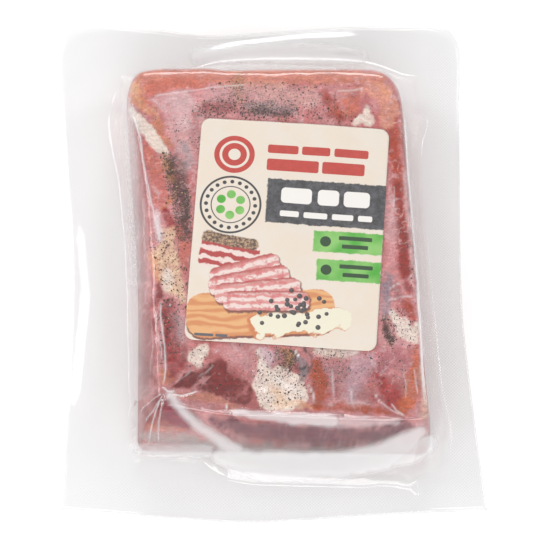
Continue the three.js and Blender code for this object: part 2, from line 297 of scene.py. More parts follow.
# In front it stands off the slab. How it lies there: how far out from the brow, and how far down.
HANG_FROM = (
    (-43, -70.5),
    (-38, -71.6),
    (-30, -73.6),
    (-20, -76.8),
    (20, -78.4),
    (53, -80.3),
    (65.5, -79.5),
)
HANG = (
    (-1, -0.1),
    (0, 0.05),
    (1.0, 0.6),
    (4.2, 3.4),
    (5.4, 6.4),
    (6.6, 13),
    (7.6, 20),
    (9, 27),
    (11, 31.8),
    (18, 36.4),
    (22, 38.4),
)
# How far it stands off, from the left to the right: x and share of the table above.
HANG_SHARE = (
    (-43, 0.02),
    (-39, 0.2),
    (-33, 0.42),
    (-26, 0.66),
    (-17, 0.9),
    (-6, 1),
    (40, 1),
    (50, 0.85),
    (57, 0.45),
    (66, 0.12),
)

# Lines along which the film is taut: each end's x, y and height.
TAUT_LINES = (
    ((-43.5, -70.5, 38.6), (-55.5, -67.5, 21)),
    ((-43.8, -71, 38.4), (-56.5, -75.5, 9)),
    ((-43.6, -71.4, 38.2), (-57.5, -80, 5)),
    ((-43.4, -71.8, 38.2), (-56, -87, 1.2)),
    ((-19, -88.5, 3), (-16.5, -98, 0.6)),
    ((65, -79.5, 38.4), (58, -98, 0.8)),
    ((65.6, -79.6, 38.2), (71, -92, 1.0)),
    ((53.4, -80.6, 38.4), (55, -85.6, 28)),
    ((55, -85.6, 28), (65, -80.4, 37)),
    ((-58.6, 61.5, 38.2), (-66, 71, 6)),
    ((-57.5, 66, 37.6), (-64, 88, 2)),
    ((55.5, 66, 37.6), (64, 88, 2)),
    ((57, 60, 38), (68, 70, 3)),
)

# Creases that stand up from the film: height, half width, milkiness, course. Their milkiness is
# partly the film's own whitening along the crease and partly a painted highlight on the crest.
CREASES = (
    (0.4, 0.5, 0.55,
     ((-59.5, 60), (-56.5, 53), (-54.3, 44), (-52.8, 34), (-51.2, 24), (-49.6, 17),
      (-47.6, 8), (-46.4, 1))),
    (0.3, 1.2, 0.35, ((-47, 10), (-46.2, 4), (-45.6, -3))),
    (0.3, 0.5, 0.5,
     ((-44.4, -28), (-45, -35), (-43.6, -42), (-42.8, -50), (-42.2, -58), (-43, -64), (-43.6, -67))),
    (0.3, 0.4, 0.35, ((-46.6, -33), (-46.2, -42), (-44.6, -48), (-44, -55))),
    (0.4, 0.5, 0.6, ((-43.8, -66.6), (-41.2, -68.6), (-38, -68.4))),
    (0.4, 0.45, 0.7, ((-42, -69.6), (-36, -70.6), (-31, -69.4), (-28.5, -68.6))),
    (0.06, 0.4, 0.2, ((-38.6, -65.2), (-34, -61.8), (-31, -59.4))),
    (0.06, 0.4, 0.2, ((-29.4, -62.4), (-25.6, -60.6), (-22, -57))),
    (0.15, 0.4, 0.3, ((-22.5, -52), (-20, -50.4))),
    (0.3, 0.5, 0.6, ((-17.4, -73.6), (-16.6, -76.6))),
    (0.4, 0.45, 0.9, ((10.6, -50.4), (12.4, -52.4), (13.4, -55))),
    (0.3, 0.5, 0.45, ((16.6, -65.6), (18.4, -69.4), (19.6, -74.4))),
    (0.12, 0.5, 0.25, ((26.8, -58), (27, -68), (26.8, -76.4))),
    (0.12, 0.6, 0.28, ((33.8, -66), (35, -72), (35.6, -77))),
    (0.12, 0.4, 0.2, ((31, -74), (38, -73.4), (43, -74.6))),
    (0.25, 0.4, 0.4, ((43.6, -68.6), (46, -73), (51, -76.8), (57, -80))),
    (0.25, 0.4, 0.45, ((50.6, -73.6), (53, -77), (56.6, -79.4))),
    (0.2, 0.4, 0.35, ((60.6, -58), (61.4, -64), (62, -70))),
    (0.15, 0.4, 0.25, ((56, -60), (57.4, -66), (57, -72))),
    (0.5, 0.8, 0.7,
     ((57.4, 62), (58.6, 45), (59.8, 28), (61, 10), (62, -8), (62.8, -28),
      (63.6, -48), (64.4, -66), (65.2, -79))),
    (0.12, 0.5, 0.3, ((-50, 63.8), (-42, 65.2), (-31, 66.8), (-18, 68.8), (-8, 69.2))),
    (0.12, 0.4, 0.25, ((-34, 69), (-34.8, 66))),
    (0.15, 0.4, 0.25, ((-52, 61.8), (-49.4, 62.6), (-47, 60.6))),
    (0.15, 0.7, 0.3, ((29, 66.2), (35, 66.4), (40, 67.4))),
    (0.15, 0.5, 0.35, ((39.6, 68.6), (40.6, 65.4), (40.4, 62.6))),
    (0.2, 0.4, 0.4, ((-43, -70), (-47, -75), (-51.5, -78))),
    (0.25, 0.4, 0.45, ((-43.4, -70.4), (-47.4, -77.5), (-51, -84))),
    (0.2, 0.4, 0.4, ((-42.6, -70.6), (-45.4, -79), (-46.4, -85))),
    (0.2, 0.4, 0.35, ((-43.4, -69.6), (-49, -71.8), (-54.4, -71))),
    (0.12, 0.5, 0.3, ((50.6, -24), (54, -21.6), (57, -20.4))),
    (0.12, 0.5, 0.3, ((50, -29), (55, -27.4), (61.4, -27))),
    (0.12, 0.4, 0.25, ((49.6, 20), (53.4, 22), (53, 12))),
    (0.1, 0.4, 0.2, ((-49, -60), (-47.6, -48), (-48.6, -36))),
    (0.1, 0.4, 0.2, ((-53, 20), (-52, 4), (-51.6, -10))),
)

# Low folds of the flange: height, half width, course.
FLANGE_FOLDS = (
    (2.2, 7.0, ((-82, 42), (-76, 14), (-73, -12), (-75, -38), (-77, -62), (-78, -90))),
    (1.8, 5.0, ((-45, 94), (-14, 101), (14, 104.5), (44, 106), (57, 100))),
    (0.6, 6.0, ((-60, -101), (-20, -104), (30, -102), (70, -99))),
    (1.4, 2.4, ((70, -86), (66, -94), (61, -102))),
    (1.0, 3.5, ((-78, 94), (-72, 84), (-66, 78))),
    (0.5, 4.0, ((80, 60), (78, 20), (78, -30), (81, -70))),
)

# Where the film gets a painted sheen for the soft light that its small wrinkles reflect: softness,
# strength, course.
PAINTED_SHEEN_PATCHES = (
    (3, 1.0, ((-46, 62, 2), (-38, 60, 5), (-34, 52, 6), (-36, 44, 4))),
    (3, 0.9, ((-24, 65, 2.5), (-8, 66, 2.5), (4, 64, 4), (18, 63, 4))),
    (3, 0.7, ((-37, 38, 3), (-34, 32, 2.5))),
    (3, 0.6, ((-13, -51, 3), (-4, -52, 3), (1, -54, 3))),
    (4, 0.6, ((30, -58, 4), (38, -56, 4), (35, -70, 4))),
    (3, 0.9, ((50, -18, 2), (51, -26, 3), (49, -34, 2))),
    (3, 0.8, ((52, 14, 1.4), (52, 0, 2))),
    (2, 0.8, ((-46.5, 8, 1.4), (-45.5, 0, 2))),
    (3, 0.5, ((-37, -36, 2.5), (-36, -46, 2))),
    (3, 1.4, ((-58, 56, 2), (-57.6, 44, 2.5), (-57, 34, 2))),
    (4, 0.5, ((-57.4, 30, 2), (-56.6, 0, 2), (-56, -30, 1.5))),
    (3, 0.9, ((58, 56, 1.6), (60.6, 20, 1.6), (62.4, -10, 1.4))),
)

# Where the film is made milky to paint light on it: painted reflections and highlights on its
# folds and slopes, and painted light on the flange where the slab shades it. Softness, strength,
# course. As with the slab's strokes, a spot on a slope is named by where it shows on a level with
# the top.
FILM_PAINTED_LIGHT = (
    # painted reflection: the band under the front brow
    (2.4, 0.46, ((-13.5, -77.8, 0.1), (-2.5, -79.2, 0.7), (9.5, -80.6, 1.4), (26.5, -81.8, 1.7))),
    (2.4, 0.24, ((26.5, -81.8, 1.7), (41.4, -82.4, 0.9), (53, -81.8, 0.1))),
    # painted highlight: the swoosh on the fold from the front left corner
    (3.4, 0.5, ((-40, -71, 0.1), (-36.4, -75.6, 0.1), (-33, -79.6, 0.2), (-28, -85, 0.4), (-20.4, -91, 1))),
    (3.4, 0.5, ((-20.4, -91, 1), (-14, -96.4, 2))),
    # painted reflections on the tent in front of the wall
    (4, 0.5, ((-19.5, -99, 2), (-3.3, -102.6, 4.6), (13.7, -103, 4.6), (30.8, -102.2, 4.2))),
    (4, 0.5, ((30.8, -102.2, 4.2), (47.8, -98.6, 4.6), (56.3, -92.8, 3.6), (62.7, -87.4, 1.2))),
    (3, 0.45, ((54, -98, 4), (62, -95.6, 3.6), (67, -92.4, 2.4))),
    # the wall's foot at the left
    (3, 0.35, ((-54, -95.5, 1.2), (-40, -96.4, 1.8), (-26, -96.6, 1.8))),
    # painted reflections on the film over the left wall
    (3.4, 0.2, ((-60.5, 60, 1.4), (-60.4, 44, 2), (-59.6, 28, 2), (-58, 4, 1.6), (-57, -20, 1))),
    # painted highlight on the back slope, painted light on the shaded flange behind it
    (1.6, 0.35, ((-44, 77.6, 0.5), (-20, 79.4, 0.9), (10, 79.6, 0.8), (34, 78, 0.6))),
    (4, 0.45, ((-30, 85, 1.4), (-5, 86.4, 2.4), (20, 86.4, 2.4), (40, 85.4, 1))),
)

# ---------------------------------------------------------------------------------------------
# Where the meshes are fine, where the label lies, and the stage.

SLAB_SPAN = (126, 168)  # across and along the slab's foot
SLAB_UNDER = 0.35  # height of its underside, on the lower web
SLAB_RIM = 0.3  # how thick it is at the foot
PEPPER_SPAN = ((-62, 68), (-84, 84))  # where grains are tried, in x and in y
PEPPER_EVERYWHERE = 0.006  # how thick stray grains lie
FILM_SPAN = (184, 228.6)  # across and along the flange
CREASED_X = ((-66, -42), (52, 71))  # bands where the film's mesh is finer
CREASED_Y = ((-100, -66), (64, 90))

LABEL_PLACE = (8.5, 1.1)
LABEL_TURN = -3.9  # degrees
LABEL_MESH = 0.8
LABEL_GAP = 0.12  # over the film

# In metres: name, place, size across, size along, brightness.
SOFTBOXES = (
    ("softbox_front", (0.05, -1.07, 0.9), 1.2, 0.6, 4.2),
    ("softbox_top", (0.0, -0.3, 1.36), 0.5, 0.36, 5.0),
    ("softbox_front_left", (-0.92, -0.84, 0.64), 0.4, 0.45, 6.0),
    ("softbox_left", (-1.0, 0.46, 0.85), 0.4, 0.8, 3.6),
    ("softbox_right", (1.05, 0.4, 0.85), 0.22, 0.8, 4.5),
    ("softbox_back", (0.0, 1.24, 0.64), 1.1, 0.34, 7.0),
)
WORLD_BRIGHTNESS = 0.4
CAMERA_AIM = (2.2, -8.2, 15)
CAMERA_ELEVATION = 70  # degrees over the horizon
CAMERA_DISTANCE = 1.4  # metres
CAMERA_LENS = 216.5  # focal length, for a sensor 36 wide

# ---------------------------------------------------------------------------------------------
# Fields: heights and masks worked out at many points at once.

PIECE = 6000  # points worked on at a time


def in_pieces(field):
    """Makes a field of x and y work through long lists of points a part at a time."""

    @functools.wraps(field)
    def whole(x, y, *rest):
        flat_x, flat_y = np.ravel(x), np.ravel(y)
        parts = [
            field(flat_x[i : i + PIECE], flat_y[i : i + PIECE], *rest) for i in range(0, flat_x.size, PIECE)
        ]
        if isinstance(parts[0], tuple):
            return tuple(np.concatenate(each).reshape(np.shape(x)) for each in zip(*parts))
        return np.concatenate(parts).reshape(np.shape(x) + parts[0].shape[1:])

    return whole


def bend_round(start, corner, end, count):
    """A corner's curve, as points."""
    t = np.linspace(0, 1, count)[:, None]
    start, corner, end = (np.array(p, float) for p in (start, corner, end))
    return (1 - t) ** 2 * start + 2 * t * (1 - t) * corner + t * t * end


@functools.cache
def rounded(corners):
    """The closed outline of a polygon with rounded corners, as points."""
    curves = []
    for i, (x, y, rounding) in enumerate(corners):
        corner = np.array((x, y), float)
        ends = []
        for other in (corners[i - 1], corners[(i + 1) % len(corners)]):
            way = np.array(other[:2], float) - corner
            ends.append(corner + way * rounding / np.linalg.norm(way))
        curves.append(bend_round(ends[0], corner, ends[1], 9))
    return np.vstack(curves)


def travelled(line):
    """How far along a line each of its points lies."""
    return np.concatenate(([0], np.cumsum(np.linalg.norm(np.diff(line, axis=0), axis=1))))


def line_distance(points, x, y):
    """Distance to an open line, and the share of the line at which it is nearest."""
    points = np.array([point[:2] for point in points], float)
    if len(points) == 1:
        return np.hypot(x - points[0, 0], y - points[0, 1]), np.full(x.shape, 0.5)
    lengths = np.linalg.norm(np.diff(points, axis=0), axis=1)
    done, total = 0.0, lengths.sum()
    best = np.full(x.shape, np.inf)
    share = np.zeros(x.shape)
    for (ax, ay), (bx, by), length in zip(points[:-1], points[1:], lengths):
        ex, ey = (bx - ax) / length, (by - ay) / length
        along = np.clip((x - ax) * ex + (y - ay) * ey, 0, length)
        away = np.hypot(x - ax - along * ex, y - ay - along * ey)
        nearer = away < best
        best = np.where(nearer, away, best)
        share = np.where(nearer, (done + along) / total, share)
        done += length
    return best, share


def signed_distance(outline, x, y):
    """Distance to a closed outline, negative inside it."""
    closed = np.vstack((outline, outline[:1]))
    away, _ = line_distance(closed, x, y)
    inside = np.zeros(x.shape, bool)
    for (ax, ay), (bx, by) in zip(closed[:-1], closed[1:]):
        if ay != by:
            crossing = ax + (y - ay) * (bx - ax) / (by - ay)
            inside ^= ((ay > y) != (by > y)) & (x < crossing)
    return np.where(inside, -away, away)


def stroke(points, x, y):
    """Distance to a stroke's course, and half the stroke's width there."""
    away, share = line_distance(points, x, y)
    if len(points) == 1:
        half_width = np.full(x.shape, float(points[0][2]))
    else:
        course = np.array(points, float)
        at = travelled(course[:, :2])
        half_width = np.interp(share, at / at[-1], course[:, 2])
    return away, half_width


def beside(course, x, y, reach):
    """Which points lie within reach of the box round a course."""
    across, along = [p[0] for p in course], [p[1] for p in course]
    return (
        (x > min(across) - reach)
        & (x < max(across) + reach)
        & (y > min(along) - reach)
        & (y < max(along) + reach)
    )


@functools.cache
def lattice(seed):
    """The random numbers that a noise runs smoothly between."""
    return np.random.default_rng(seed).uniform(-1, 1, (256, 256))


def ripple(x, y, pitch, seed):
    """Smooth noise from -1 to 1, with its bumps about pitch apart."""
    values = lattice(seed)
    size = len(values)
    across, along = x / pitch + size / 2, y / pitch + size / 2
    column, row = np.floor(across).astype(int), np.floor(along).astype(int)
    fx, fy = across - column, along - row
    fx, fy = fx * fx * (3 - 2 * fx), fy * fy * (3 - 2 * fy)

    def at(i, j):
        return values[(row + j) % size, (column + i) % size]

    front = at(0, 0) * (1 - fx) + at(1, 0) * fx
    back = at(0, 1) * (1 - fx) + at(1, 1) * fx
    return front * (1 - fy) + back * fy


def rough(x, y, pitch, seed):
    """Noise with finer noise on it, from about -1 to 1."""
    return sum(ripple(x, y, pitch / 2**i, seed + i) * 0.55**i for i in range(3)) / 1.5


def smooth(low, high, value):
    """A smooth step from 0 to 1 as value goes from low to high, or the other way round."""
    t = np.clip((value - low) / (high - low), 0, 1)
    return t * t * (3 - 2 * t)


def ridge(away, half_width):
    """1 on a line, and nearly nought from twice the half width on."""
    return np.exp(-((away / half_width) ** 2))


def tapered(share, end):
    """1 along a line, and less over this share of it at either end."""
    return smooth(0, end, share) * smooth(0, end, 1 - share)


def wander(x, y, reach, seed):
    """The points, shifted a little this way and that, so that edges drawn there are uneven."""
    return x + reach * rough(x, y, 5, seed), y + reach * rough(x, y, 5, seed + 10)


@in_pieces
def strength_of(x, y, table):
    """The strongest of a table's soft strokes at each point."""
    x, y = wander(x, y, 0.7, 300)
    field = np.zeros(x.shape)
    for softness, strength, course in table:
        near = beside(course, x, y, softness + max(p[2] for p in course))
        if near.any():
            away, half_width = stroke(course, x[near], y[near])
            shade = strength * smooth(half_width + softness, half_width, away)
            field[near] = np.maximum(field[near], shade)
    return field


@in_pieces
def slab_tint(x, y, palette):
    """The slab's colour: the strokes laid over one another with uneven edges, and painted shade on the lean
    towards the front.
    """
    lean, pale, red = palette["lean"], palette["mauve"], palette["lean_red"]
    cloud = smooth(-0.6, 0.7, rough(x, y, 13, 201))[:, None]
    tint = lean * cloud + pale * (1 - cloud)
    fibre = smooth(0.1, 0.8, rough(x + 0.3 * y, y * 0.35, 3.2, 207))[:, None]
    tint = tint + (red - tint) * 0.22 * fibre
    for i, (name, softness, strength, course) in enumerate(STROKES):
        near = beside(course, x, y, 1 + 2.5 * softness + max(p[2] for p in course))
        if not near.any():
            continue
        nx, ny = x[near], y[near]
        away, half_width = stroke(course, *wander(nx, ny, 0.4 + 0.6 * softness, 400 + 20 * i))
        fray = (0.25 + 0.4 * softness) * rough(nx, ny, 1.5, 900 + i)
        soft = 0.2 + 0.65 * softness
        edge = smooth(half_width + soft, half_width - soft, away + fray)
        mottle = 0.95 + 0.3 * rough(nx, ny, 2.4, 700 + i)
        share = np.clip(strength * edge * mottle, 0, 1)[:, None]
        tint[near] += (palette[name] - tint[near]) * share
    on_top = 0.3 + 0.7 * smooth(-86, -78, y)  # the front wall shows less grain through the tent
    marbling = smooth(0.8, 0.97, 1 - 1.6 * np.abs(rough(x, y, 4.5, 221)))
    marbling = marbling * smooth(-0.3, 0.4, rough(x, y, 14, 227)) * on_top
    tint = tint + (palette["pale"] - tint) * 0.42 * marbling[:, None]
    fine = 1 + (0.14 * rough(x, y, 1.6, 211) + 0.12 * rough(x, y, 5, 213)) * on_top
    # painted shade: the lean grows darker towards the front, where less light falls; fat keeps its colour
    front_painted_shade = 1 - 0.2 * smooth(-44, -62, y) * smooth(0.55, 0.3, tint[:, 1])
    return tint * (fine * front_painted_shade)[:, None]


@in_pieces
def slab_height(x, y, brow_height, middle_rise):
    """Height of the slab's skin, 0 at and beyond its foot."""
    out = np.maximum(signed_distance(rounded(BROW), x, y), 0)
    within = np.maximum(-signed_distance(rounded(FOOT), x, y), 0)
    share = out / np.maximum(out + within, 1e-6)
    share = share + 0.2 * ripple(x, y, 14, 5) * share * (1 - share)
    square = 2.4 + 1.8 * smooth(30, 60, y)
    wall = np.maximum(1 - np.clip(share, 0, 1) ** square, 0) ** 0.8
    across, along = (x - 2) / 60, (y + 2) / 78
    height = brow_height + middle_rise * np.maximum(1 - across**2, 0) * np.maximum(1 - along**2, 0)
    relief = 0.4 * ripple(x, y, 24, 11) + 0.2 * ripple(x, y, 9, 12) + 0.08 * ripple(x, y, 3, 13)
    for depth, half_width, points in GROOVES:
        away, share = line_distance(points, x, y)
        relief = relief - depth * (0.3 + 0.7 * tapered(share, 0.12)) * ridge(away, half_width)
    for rise, half_width, points in SWELLS:
        away, _ = line_distance(points, x, y)
        relief = relief + rise * ridge(away, half_width)
    return np.where(within > 0, (height - 0.6 + relief) * wall, 0)


@in_pieces
def flange_height(x, y, gap):
    """Height of the upper web where it lies on the lower one."""
    base = gap + 0.12 * (1 + ripple(x, y, 45, 41))
    for height, half_width, points in FLANGE_FOLDS:
        away, share = line_distance(points, x, y)
        base = base + height * tapered(share, 0.25) * ridge(away, half_width)
    for (cx, cy), lift in ((BACK_LEFT_CORNER, 2.2), (BACK_RIGHT_CORNER, 1.6)):
        near = 1 - np.hypot(x - cx, y - cy) / 55
        base = base + lift * smooth(0, 1, near)
    return np.maximum(base, gap)


@in_pieces
def hang_height(x, y):
    """Height of the film where it stands off the slab's front, far below elsewhere."""
    away, _ = line_distance(HANG_FROM, x, y)
    brow = np.interp(x, *zip(*HANG_FROM))
    share = np.interp(x, *zip(*HANG_SHARE))
    out = np.where(y < brow, away, -away) / share
    sag = 0.5 * ripple(x, y, 16, 17)
    height = 38.3 - np.interp(out + sag * smooth(1, 5, out), *zip(*HANG))
    return np.where((out > -1) & (out < 20), height, -9)


@in_pieces
def pull(x, y):
    """How hard the film is drawn down at each point."""
    weight = np.full(x.shape, 1e-3)
    total = weight * LOOSEST
    for cx, cy, span, tightness in TIGHTNESS:
        near = np.exp(-(((x - cx) ** 2 + (y - cy) ** 2) / span**2) * 2)
        weight, total = weight + near, total + near * tightness
    return total / weight


@in_pieces
def creases(x, y):
    """How far the film's creases stand up, and how milky they are: the film's whitening there, with a
    painted highlight on each crest.
    """
    x, y = x + 0.3 * rough(x, y, 5, 501), y + 0.3 * rough(x, y, 5, 511)
    rise, milk = np.zeros(x.shape), np.zeros(x.shape)
    for height, half_width, milkiness, points in CREASES:
        near = beside(points, x, y, 6 * half_width)
        if not near.any():
            continue
        away, share = line_distance(points, x[near], y[near])
        fade = tapered(share, 0.12)
        rise[near] = np.maximum(rise[near], height * fade * np.exp(-away / half_width))
        # milkiness along a crease: partly the film's whitening, partly a painted highlight
        white = milkiness * fade * ridge(away, 0.7 * half_width)
        milk[near] = np.maximum(milk[near], white)
    return rise, milk


class HeightMap:
    """Heights on an even grid over the whole pack, and a smooth reading between its points."""

    def __init__(self, step):
        low, high = (np.array(corner)[:2] / MM for corner in cad_box)
        margin = 3
        self.step, self.low = step, low - margin
        columns, rows = np.ceil((high - low + 2 * margin) / step).astype(int) + 1
        self.x, self.y = np.meshgrid(
            self.low[0] + step * np.arange(columns), self.low[1] + step * np.arange(rows)
        )
        self.z = np.zeros(self.x.shape)

    def read(self, x, y):
        return reading(x, y, self)


@in_pieces
def reading(x, y, heights):
    """Catmull-Rom reading of a height map."""
    across, along = (x - heights.low[0]) / heights.step, (y - heights.low[1]) / heights.step
    column = np.clip(np.floor(across).astype(int), 1, heights.z.shape[1] - 3)
    row = np.clip(np.floor(along).astype(int), 1, heights.z.shape[0] - 3)

    def weights(t):
        return (
            -0.5 * t + t**2 - 0.5 * t**3,
            1 - 2.5 * t**2 + 1.5 * t**3,
            0.5 * t + 2 * t**2 - 1.5 * t**3,
            -0.5 * t**2 + 0.5 * t**3,
        )

    wx, wy = weights(np.clip(across - column, 0, 1)), weights(np.clip(along - row, 0, 1))
    found = 0
    for j in range(4):
        for i in range(4):
            found = found + wx[i] * wy[j] * heights.z[row + j - 1, column + i - 1]
    return found


def widened(heights):
    """Each height raised to the highest of its neighbours."""
    wide = heights.copy()
    wide[1:] = np.maximum(wide[1:], heights[:-1])
    wide[:-1] = np.maximum(wide[:-1], heights[1:])
    rows = wide.copy()
    wide[:, 1:] = np.maximum(wide[:, 1:], rows[:, :-1])
    wide[:, :-1] = np.maximum(wide[:, :-1], rows[:, 1:])
    return wide


def settle(heights, floor, fall, rounds):
    """Lets a skin shrink on to a floor, drawn down a little at every step."""
    inner, mean = floor[1:-1, 1:-1], np.empty(fall.shape)
    for _ in range(rounds):
        np.add(heights[2:, 1:-1], heights[:-2, 1:-1], out=mean)
        mean += heights[1:-1, 2:]
        mean += heights[1:-1, :-2]
        mean *= 0.25
        mean -= fall
        np.maximum(mean, inner, out=heights[1:-1, 1:-1])


@functools.cache
def drape_film(brow_height, middle_rise, film_gap, web_gap):
    """The upper web: a skin stretched over the slab and the flange, and drawn down."""
    coarse = None
    for step, rounds in ((2.0, 200), (1.0, 260), (0.5, 220)):
        film = HeightMap(step)
        x, y = film.x, film.y
        slab = slab_height(x, y, brow_height, middle_rise)
        floor = flange_height(x, y, web_gap)
        floor = np.maximum(floor, widened(slab) + (slab > 0) * film_gap)
        floor = np.maximum(floor, hang_height(x, y))
        for start, end in TAUT_LINES:
            near = beside((start, end), x, y, 8)
            away, share = line_distance((start, end), x[near], y[near])
            sag = 0.12 * np.sin(np.pi * share) * math.dist(start[:2], end[:2])
            roof = start[2] + (end[2] - start[2]) * share - sag - 3 * np.maximum(away - step * 0.6, 0)
            floor[near] = np.maximum(floor[near], np.where(away < 1.6 * step, roof, 0))
        film.z = floor.copy() if coarse is None else np.maximum(floor, coarse.read(x, y))
        settle(film.z, floor, pull(x, y)[1:-1, 1:-1] * step * step / 4, rounds)
        coarse = film
    return coarse


def film_shape(sizes):
    """The draped film for these sizes, worked out once for each set of them."""
    heights = (sizes.slab_height, sizes.middle_rise, sizes.film_gap, sizes.web_gap)
    return drape_film(*(height / MM for height in heights))


# ---------------------------------------------------------------------------------------------
# Meshes


def spline(points, count):
    """Points evenly spaced along a smooth line through a few points."""
    points = np.array(points, float)
    ends = np.vstack((2 * points[0] - points[1], points, 2 * points[-1] - points[-2]))
    found = []
    for i in range(len(points) - 1):
        a, b, c, d = ends[i : i + 4]
        for t in np.linspace(0, 1, 24, endpoint=False):
            bend = (2 * a - 5 * b + 4 * c - d) * t**2 + (3 * b - a - 3 * c + d) * t**3
            found.append(0.5 * (2 * b + (c - a) * t + bend))
    found = np.array(found + [points[-1]])
    lengths = travelled(found)
    at = np.linspace(0, lengths[-1], count)
    return np.column_stack([np.interp(at, lengths, found[:, k]) for k in (0, 1)])


@functools.cache
def flange_sides():
    """The flange's four sides, each from one corner's middle to the next: front, right, back, left."""
    back_right = bend_round(RIGHT_EDGE[-1], BACK_RIGHT_CORNER, BACK_EDGE[0], 12)
    back_left = bend_round(BACK_EDGE[-1], BACK_LEFT_CORNER, LEFT_EDGE[0], 12)
    half = len(back_right) // 2
    return (
        spline(FRONT_EDGE, 160),
        np.vstack((spline(RIGHT_EDGE, 120), back_right[1 : half + 1])),
        np.vstack((back_right[half:], spline(BACK_EDGE, 120)[1:-1], back_left[: half + 1])),
        np.vstack((back_left[half:], spline(LEFT_EDGE, 120)[1:])),
    )


def foot_sides():
    """The slab's foot as four sides, split at the middle of each of its corners."""
    outline = rounded(FOOT)
    ends = [np.argmin(np.hypot(*(outline - np.array(c[:2])).T)) for c in FOOT]
    front_left, front_right, _, back_right, back_left, _ = ends
    wrapped = np.vstack((outline, outline))
    return (
        wrapped[front_left : front_right + 1],
        wrapped[front_right : back_right + 1],
        wrapped[back_right : back_left + 1],
        wrapped[back_left : front_left + len(outline) + 1],
    )


def side_point(side, shares):
    """Points at shares of a side's length."""
    lengths = travelled(side)
    at = np.asarray(shares) * lengths[-1]
    return np.stack([np.interp(at, lengths, side[:, k]) for k in (0, 1)], axis=-1)


def stretch(sides, u, v):
    """Where a point of the unit square comes to lie between four sides."""
    front, right, back, left = sides
    f, b = side_point(front, u), side_point(back, 1 - u)
    r, e = side_point(right, v), side_point(left, 1 - v)
    u, v = u[..., None], v[..., None]
    front_corners = (1 - u) * (1 - v) * front[0] + u * (1 - v) * front[-1]
    back_corners = u * v * back[0] + (1 - u) * v * back[-1]
    return (1 - v) * f + v * b + (1 - u) * e + u * r - front_corners - back_corners


def graded(size, fine_bands, fine, coarse):
    """Grid lines from 0 to 1 over a size, closer together in some bands, given from its middle."""
    at = np.linspace(-size / 2, size / 2, 4000)
    density = np.full(at.shape, 1 / coarse)
    for low, high in fine_bands:
        inside = smooth(low - 4, low, at) * smooth(-high - 4, -high, -at)
        density = np.maximum(density, 1 / coarse + (1 / fine - 1 / coarse) * inside)
    lines = np.concatenate(([0], np.cumsum((density[1:] + density[:-1]) / 2 * np.diff(at))))
    count = int(round(lines[-1]))
    return np.interp(np.linspace(0, lines[-1], count + 1), lines, np.linspace(0, 1, len(at)))


def grid_sheet(lines_u, lines_v):
    """A bmesh grid, and each of its vertices' place in the unit square."""
    bm = bmesh.new()
    bmesh.ops.create_grid(bm, x_segments=len(lines_u) - 1, y_segments=len(lines_v) - 1, size=0.5)
    bm.verts.ensure_lookup_table()
    flat = np.array([v.co[:2] for v in bm.verts]) + 0.5
    column = np.rint(flat[:, 0] * (len(lines_u) - 1)).astype(int)
    row = np.rint(flat[:, 1] * (len(lines_v) - 1)).astype(int)
    return bm, lines_u[column], lines_v[row]


def place(bm, x, y, z):
    """Puts the vertices at these places, given in millimetres."""
    for vert, at in zip(bm.verts, (np.column_stack((x, y, z)) * MM).tolist()):
        vert.co = at


def paint(bm, name, values):
    """Stores a number, or three, for each vertex, for the materials to read."""
    layers = bm.verts.layers
    layer = (layers.float if values.ndim == 1 else layers.float_vector).new(name)
    for vert, value in zip(bm.verts, values.tolist()):
        vert[layer] = value


def add_piece(context, name, bm, material, slot, *nodes):
    """Makes the finished piece from a bmesh, with smooth faces, and ties it to the frame."""
    mesh = bpy.data.meshes.new(name)
    bm.to_mesh(mesh)
    bm.free()
    mesh.polygons.foreach_set("use_smooth", np.ones(len(mesh.polygons), bool))
    piece = bpy.data.objects.new(name, mesh)
    context.collection.objects.link(piece)
    mesh.materials.append(material)
    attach(piece, BODY)
    if nodes:
        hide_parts(*nodes)


def close_below(bm, rings, cleared=()):
    """Closes a sheet from its rim: each ring is a function from a rim place to a new place.

    The stored numbers named in cleared are nought on the closed side.
    """
    edges = [edge for edge in bm.edges if edge.is_boundary]
    layers = [bm.verts.layers.float[name] for name in cleared]
    for ring in rings:
        made = bmesh.ops.extrude_edge_only(bm, edges=edges)["geom"]
        verts = [part for part in made if isinstance(part, bmesh.types.BMVert)]
        edges = [part for part in made if isinstance(part, bmesh.types.BMEdge)]
        for vert in verts:
            vert.co = ring(vert.co)
            for layer in layers:
                vert[layer] = 0.0
    bmesh.ops.triangle_fill(bm, use_beauty=True, edges=edges)
    bmesh.ops.recalc_face_normals(bm, faces=bm.faces)


# ---------------------------------------------------------------------------------------------
# Materials


